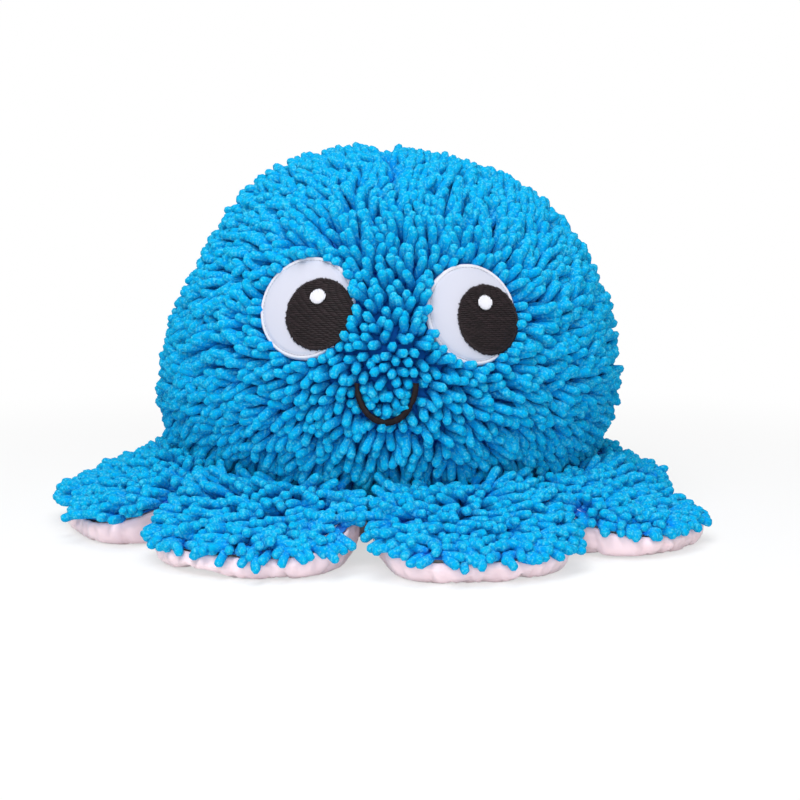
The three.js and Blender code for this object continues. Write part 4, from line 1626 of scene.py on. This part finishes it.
def border(radius, count, length, slant, rng):
    """Slanted stitches across a circle's edge, of uneven length."""
    angle = turns(count)
    length = length * rng.uniform(*BORDER_UNEVEN, count)
    fray = length * rng.uniform(*BORDER_FRAY, count)
    inner = on_circle(angle) * (radius - length * BORDER_INWARDS)[:, None]
    outer = on_circle(angle + slant) * (radius + fray)[:, None]
    return inner, outer


print("rows of a pupil's fill:", int(2 * PUPIL_RADIUS / FILL_PITCH) + 1)

# %% Embroidered pupils, glints and seams
# For each kind of stitch: how deep it lies under the pile's tips, how wide it is, and how high it rises.
FILL_STITCH = (2.9 * MM, 1.15 * MM, 0.8 * MM)
BORDER_STITCH = (2.95 * MM, 1.1 * MM, 1.0 * MM)
GLINT_STITCH = (2.1 * MM, 1.15 * MM, 1.0 * MM)
SEAM_STITCH = (EYE_INSET + 0.4 * MM, 0.5 * MM, 0.4 * MM)
PUPIL_GROUND_RADIUS = PUPIL_RADIUS - 1 * MM
PUPIL_GROUND_INSETS = (3.0 * MM, 3.45 * MM)
PUPIL_FILL_RADIUS = PUPIL_RADIUS - 1.4 * MM
BORDER_RADIUS = PUPIL_RADIUS - 0.5 * MM
BORDER_COUNT = 122
BORDER_LENGTH = 2.7 * MM
BORDER_SLANT = 0.05
GLINT_GROUND_RADIUS = GLINT_RADIUS - 0.4 * MM
GLINT_GROUND_INSETS = (2.2 * MM, 3.0 * MM)
GLINT_GRID = (4, 24)
GLINT_PITCH = 0.85 * MM
GLINT_OVERHANG = 0.2 * MM
GLINT_SLANT = 0.15 * MM
SEAM_COUNT = 88
SEAM_STITCH_LENGTH = 1.7 * MM
PUPIL_SEED = 71


def add_pupil(side, place, rng):
    name = f"{side}_pupil"
    shape = (PUPIL_GROUND_RADIUS, PUPIL_GROUND_INSETS)
    ground = face_patch(f"{name}_ground", place, *shape, BLACK_THREAD, PUPIL)
    starts, ends = fill_rows(PUPIL_FILL_RADIUS, rng)
    fill = sew_on_dome(f"{name}_fill", BLACK_THREAD, place, starts + PUPIL, ends + PUPIL, *FILL_STITCH)
    starts, ends = border(BORDER_RADIUS, BORDER_COUNT, BORDER_LENGTH, BORDER_SLANT, rng)
    edge = sew_on_dome(f"{name}_border", BLACK_THREAD, place, starts + PUPIL, ends + PUPIL, *BORDER_STITCH)
    for made in (ground, fill, edge):
        finish_piece(made, name)
    return fill


def add_glint(side, place):
    name = f"{side}_glint"
    shape = (GLINT_GROUND_RADIUS, GLINT_GROUND_INSETS)
    ground = face_patch(f"{name}_ground", place, *shape, WHITE_THREAD, GLINT, GLINT_GRID)
    x = np.arange(-GLINT_RADIUS + GLINT_PITCH / 2, GLINT_RADIUS, GLINT_PITCH)
    half = np.sqrt(GLINT_RADIUS**2 - x**2) + GLINT_OVERHANG
    starts = np.stack((x - GLINT_SLANT, -half), -1) + GLINT
    ends = np.stack((x + GLINT_SLANT, half), -1) + GLINT
    satin = sew_on_dome(f"{name}_satin", WHITE_THREAD, place, starts, ends, *GLINT_STITCH)
    for made in (ground, satin):
        finish_piece(made, name)


def add_eye_seam(side, place):
    """Running stitches round the felt, but not where the pupil covers them."""
    angle = turns(SEAM_COUNT)
    radius = EYE_RADIUS - SEAM_INSIDE
    half_turn = SEAM_STITCH_LENGTH / 2 / radius
    starts = radius * on_circle(angle - half_turn)
    ends = radius * on_circle(angle + half_turn)
    clear = np.hypot(*(starts - PUPIL).T) > PUPIL_RADIUS
    seam = sew_on_dome(f"{side}_eye_seam", GREY_THREAD, place, starts[clear], ends[clear], *SEAM_STITCH)
    finish_piece(seam, f"{side}_eye_white")


for side, place in EYES.items():
    fill = add_pupil(side, place, np.random.default_rng(PUPIL_SEED + len(side)))
    add_glint(side, place)
    add_eye_seam(side, place)
    print(side, "pupil fill:", len(fill.data.polygons), "faces")

# %% [markdown]
# ## The mouth
# The mouth is one satin-stitch line. Over a padded cord lie short stitches that cross it side by side. The
# line is a little thicker at its middle, and the thread pulls it narrower in three places.

# %% Mouth
MOUTH_WIDTH = 3.2 * MM
MOUTH_SWELL = 0.14
SWELL_MIDDLE = 0.52
SWELL_REACH = 0.2
PINCHES = ((0.82, 0.42), (0.04, 0.35), (0.47, 0.12))
PINCH_REACH = 0.028
CORD_RINGS = 61
CORD_SIDES = 8
CORD_INSET = 2.9 * MM
CORD_RISE = 1.1 * MM
CORD_MARGIN = 0.1 * MM
SATIN_COUNT = 150
SATIN_STITCH = (CORD_INSET - 0.75 * MM, 0.62 * MM, 1.1 * MM)
SATIN_LEAN = 0.3 * MM
SATIN_ENDS = (0.004, 0.996)
SATIN_UNEVEN = (0.94, 1.1)
MOUTH_BACKING_MARGINS = (4 * MM, 5 * MM)
MOUTH_SEED = 5


def mouth_width(shares):
    width = MOUTH_WIDTH * (1 + MOUTH_SWELL * hump(shares - SWELL_MIDDLE, SWELL_REACH))
    for place, depth in PINCHES:
        width = width * (1 - depth * hump(shares - place, PINCH_REACH))
    return width


def mouth_frame(shares):
    """Points of the mouth's line, the direction across it, and half its width."""
    angle = math.pi * (1 + np.asarray(shares))
    along = unit(np.stack((-MOUTH_HALF_WIDTH * np.sin(angle), MOUTH_DEPTH * np.cos(angle)), -1))
    across = np.stack((-along[:, 1], along[:, 0]), -1)
    return np.stack(mouth_line(shares), -1), across, mouth_width(shares)[:, None] / 2


def add_mouth_cord():
    line, across, half = mouth_frame(np.linspace(0, 1, CORD_RINGS))
    half = (half - CORD_MARGIN)[..., None]
    angle = turns(CORD_SIDES)
    drawn = line[:, None] + across[:, None] * half * np.cos(angle)[:, None]
    inset = CORD_INSET - CORD_RISE * np.sin(angle) + 0 * drawn[..., 0]
    points = MOUTH.points(drawn[..., 0], drawn[..., 1], inset).reshape(-1, 3)
    faces = []
    for first in range(0, len(points) - CORD_SIDES, CORD_SIDES):
        for i in range(CORD_SIDES):
            after = (i + 1) % CORD_SIDES
            faces.append((first + i, first + after, first + CORD_SIDES + after, first + CORD_SIDES + i))
    faces.append(tuple(range(CORD_SIDES))[::-1])
    faces.append(tuple(range(len(points) - CORD_SIDES, len(points))))
    cord = mesh_object("mouth_cord", points, faces, BLACK_THREAD)
    with editing(cord.data) as shape:
        bmesh.ops.recalc_face_normals(shape, faces=shape.faces)
    return finish_piece(cord, "mouth")


def add_mouth_satin(rng):
    line, across, half = mouth_frame(np.linspace(*SATIN_ENDS, SATIN_COUNT))
    along = np.stack((across[:, 1], -across[:, 0]), -1)
    half = half * rng.uniform(*SATIN_UNEVEN, (SATIN_COUNT, 1))
    starts = line - across * half - along * SATIN_LEAN
    ends = line + across * half + along * SATIN_LEAN
    satin = sew_on_dome("mouth_satin", BLACK_THREAD, MOUTH, starts, ends, *SATIN_STITCH)
    return finish_piece(satin, "mouth")


def add_mouth_backing():
    middle = (MOUTH_SHIFT, MOUTH_END_HEIGHT - MOUTH_DEPTH / 2)
    aside, above = MOUTH_BACKING_MARGINS
    return add_backing("mouth", MOUTH, middle, (MOUTH_HALF_WIDTH + aside, MOUTH_DEPTH / 2 + above))


for made in (add_mouth_cord(), add_mouth_satin(np.random.default_rng(MOUTH_SEED)), add_mouth_backing()):
    print(made.name, len(made.data.polygons), "faces")

# %% [markdown]
# ## What closes and fills the body
# The base panel is pink plush, flat on the floor and drawn up round the body's lower edge. The toy is
# stuffed through a slit in it. Ladder stitches close the slit by hand, and pull the plush into a shallow
# furrow. Loose polyester fibre fills the body, so its surface is a soft lumpy copy of the cover.

# %% Base panel
SLIT_LENGTH = 74 * MM
SLIT_BACK = 24 * MM
SLIT_HALF_WIDTH = 2.3 * MM
SLIT_DEPTH = 1.4 * MM
SLIT_ENDS = (0.47, 0.53)
BASE_AROUND = 160
BASE_FLAT_RINGS = 30
BASE_RISE_RINGS = 8
BASE_THICKNESS = 2 * MM
BASE_LUMPS = 0.35 * MM
BASE_LUMP_SCALE = 45
BASE_INSIDE = 3 * MM
HEM_CLEARANCE = 0.5 * MM
GATHERS = 21
GATHER_DEPTH = 0.7 * MM
GATHER_LIFT = 0.4 * MM
GATHERED_SHARES = (0.8, 1.0)


def flat_rings(angle):
    """The part on the floor, from its middle to its rim, with the furrow of the slit."""
    flat = np.linspace(0, BASE_RADIUS, BASE_FLAT_RINGS + 1)[1:, None]
    x, y = flat * np.cos(angle), flat * np.sin(angle)
    in_slit = 1 - smoothstep(*SLIT_ENDS, np.abs(x) / SLIT_LENGTH)
    furrow = np.exp(-(((y - SLIT_BACK) / SLIT_HALF_WIDTH) ** 4)) * in_slit
    spots = np.stack((x, y, 0 * x), -1).reshape(-1, 3)
    soft = np.abs([noise.noise(Vector(spot) * BASE_LUMP_SCALE) for spot in spots]).reshape(x.shape)
    rim_lift = smoothstep(*GATHERED_SHARES, flat / BASE_RADIUS) * GATHER_LIFT * (1 + np.sin(angle * GATHERS))
    z = SLIT_DEPTH * furrow + BASE_LUMPS * soft * (1 - furrow) + rim_lift
    return np.stack((x, y, z), -1)


def rising_rings(angle):
    """The part that is gathered up the body's lower edge."""
    rise = np.linspace(0, 1, BASE_RISE_RINGS + 1)[1:, None] * (HEM_HEIGHT - HEM_CLEARANCE)
    gather = GATHER_DEPTH * np.sin(angle * GATHERS) * (rise / HEM_HEIGHT)
    reach = DOME_RADIUS * np.sqrt(1 - ((WAIST_HEIGHT - rise) / UNDERSIDE_DROP) ** 2) - BASE_INSIDE + gather
    z = rise + GATHER_LIFT * (1 + np.sin(angle * GATHERS)) * (1 - rise / HEM_HEIGHT)
    return np.stack((reach * np.cos(angle), reach * np.sin(angle), z), -1)


def add_base_panel():
    angle = turns(BASE_AROUND)
    rings = np.concatenate((flat_rings(angle), rising_rings(angle)))
    points = np.vstack(([[0, 0, 0]], rings.reshape(-1, 3)))
    faces = [tuple(reversed(face)) for face in ring_faces(len(rings), BASE_AROUND)]
    panel = close_cloth(mesh_object("base_panel_cloth", points, faces, PINK_PLUSH), BASE_THICKNESS)
    return finish_piece(panel, "base_panel")


print("base panel:", len(add_base_panel().data.polygons), "faces")

# %% Closing seam and fibre
LADDER_COUNT = 19
LADDER_WIDTH = 0.8 * MM
LADDER_LENGTH = 4.4 * MM
LADDER_REACH = 0.48
LADDER_SLANT = 0.25
FIBRE_INSET = 18.6 * MM
FIBRE_LUMPS = 1.3 * MM
FIBRE_SMALL_LUMPS = 0.6 * MM
FIBRE_ABOVE_FLOOR = 5.5 * MM


def add_closing_seam():
    x = np.linspace(-LADDER_REACH, LADDER_REACH, LADDER_COUNT) * SLIT_LENGTH
    points = np.stack((x, SLIT_BACK + 0 * x, 0 * x + SLIT_DEPTH - LADDER_WIDTH / 2), -1)
    slant = np.where(np.arange(LADDER_COUNT) % 2, LADDER_SLANT, -LADDER_SLANT)
    headings = unit(np.stack((slant, 0 * x + 1, 0 * x), -1))
    down = np.zeros_like(points) - UP
    lengths = 0 * x + LADDER_LENGTH
    seam = sew("closing_seam", PINK_THREAD, points, headings, down, lengths, LADDER_WIDTH, LADDER_WIDTH)
    return finish_piece(seam, "closing_stitches")


def add_body_fibre():
    fibre = mesh_object("body_fibre", [], [], FIBRE)
    with editing(fibre.data) as shape:
        bmesh.ops.create_icosphere(shape, subdivisions=5, radius=1)
        for face in shape.faces:
            face.smooth = True
    directions = positions(fibre)
    lumps = FIBRE_LUMPS * swirl(directions, 4, 1.0) + FIBRE_SMALL_LUMPS * swirl(directions, 11, 4.0)
    points = dome_points(directions, FIBRE_INSET + lumps)
    points[:, 2] = np.maximum(points[:, 2], FIBRE_ABOVE_FLOOR + lumps)
    move_points(fibre, points)
    return finish_piece(fibre, "body_filling")


for made in (add_closing_seam(), add_body_fibre()):
    print(made.name, len(made.data.polygons), "faces")

# %% [markdown]
# ## Floor and light
# The toy stands on a white sweep under soft studio light. The camera sees the sweep as white, and the sweep
# keeps the toy's soft shadow.

# %% What the camera sees as white
FLOOR_SIDE = 6.0
FLOOR_GREY = (0.86, 0.86, 0.86, 1)
FLOOR_GLOW = 0.6
SHADOW_REACH = (0.22, 0.6)
WORLD_STRENGTH = 0.28


def seen_directly(graph):
    """One for what the camera and reflections see, and zero for the light that falls on the toy."""
    path = graph.node("ShaderNodeLightPath")
    seen = graph.math("MAXIMUM", path["Is Camera Ray"], path["Is Glossy Ray"])
    return graph.math("MAXIMUM", seen, path["Is Transmission Ray"])


def make_sweep():
    """A sweep that is seen as partly glowing near the toy, where its shadow falls, and as white beyond."""
    material = bpy.data.materials.new("white_sweep")
    material.use_nodes = True
    graph = Graph(material.node_tree)
    shader = material.node_tree.nodes["Principled BSDF"]
    shader.inputs["Base Color"].default_value = FLOOR_GREY
    shader.inputs["Roughness"].default_value = 1.0
    reach = graph.vector("LENGTH", graph.node("ShaderNodeTexCoord")["Object"])
    near, far = SHADOW_REACH
    values = {"Value": reach, "From Min": near, "From Max": far, "To Min": FLOOR_GLOW, "To Max": 1.0}
    share = graph.node("ShaderNodeMapRange", {"interpolation_type": "SMOOTHSTEP"}, values)["Result"]
    glow = graph.node("ShaderNodeEmission", None, {"Color": WHITE, "Strength": 1.0})["Emission"]
    values = {0: seen_directly(graph) * share, 1: Value(graph, shader.outputs["BSDF"]), 2: glow}
    mixed = graph.node("ShaderNodeMixShader", None, values)["Shader"]
    graph.tree.links.new(mixed.socket, material.node_tree.nodes["Material Output"].inputs["Surface"])
    return material


def add_floor():
    half = FLOOR_SIDE / 2
    corners = [(-half, -half, 0), (half, -half, 0), (half, half, 0), (-half, half, 0)]
    floor = mesh_object("floor", corners, [(0, 1, 2, 3)], make_sweep())


def add_world():
    world = bpy.data.worlds.new("studio")
    world.use_nodes = True
    graph = Graph(world.node_tree)
    background = world.node_tree.nodes["Background"]
    background.inputs["Color"].default_value = WHITE
    feed(graph, background, "Strength", WORLD_STRENGTH + seen_directly(graph) * (1 - WORLD_STRENGTH))
    bpy.context.scene.world = world


add_floor()
add_world()
print("floor and world ready")

# %% Lamps
LIT_POINT = (0, 0, 0.08)
# Each soft box: its place, the side of its square in metres, and its power in watts.
SOFT_BOXES = {
    "key": ((-0.45, -1.1, 1.5), 0.9, 15.2),
    "fill": ((0, -1.7, 0.35), 1.0, 11),
    "top": ((0.05, -0.3, 1.6), 1.2, 15),
}

for name, (place, side, power) in SOFT_BOXES.items():
    data = bpy.data.lights.new(name, "AREA")
    data.shape = "SQUARE"
    data.size = side
    data.energy = power
    lamp = bpy.data.objects.new(name, data)
    lamp.location = place
    lamp.rotation_euler = (Vector(place) - Vector(LIT_POINT)).to_track_quat("Z", "Y").to_euler()
    bpy.context.scene.collection.objects.link(lamp)
bpy.context.scene.view_settings.view_transform = "Standard"
print("lamps:", list(SOFT_BOXES))
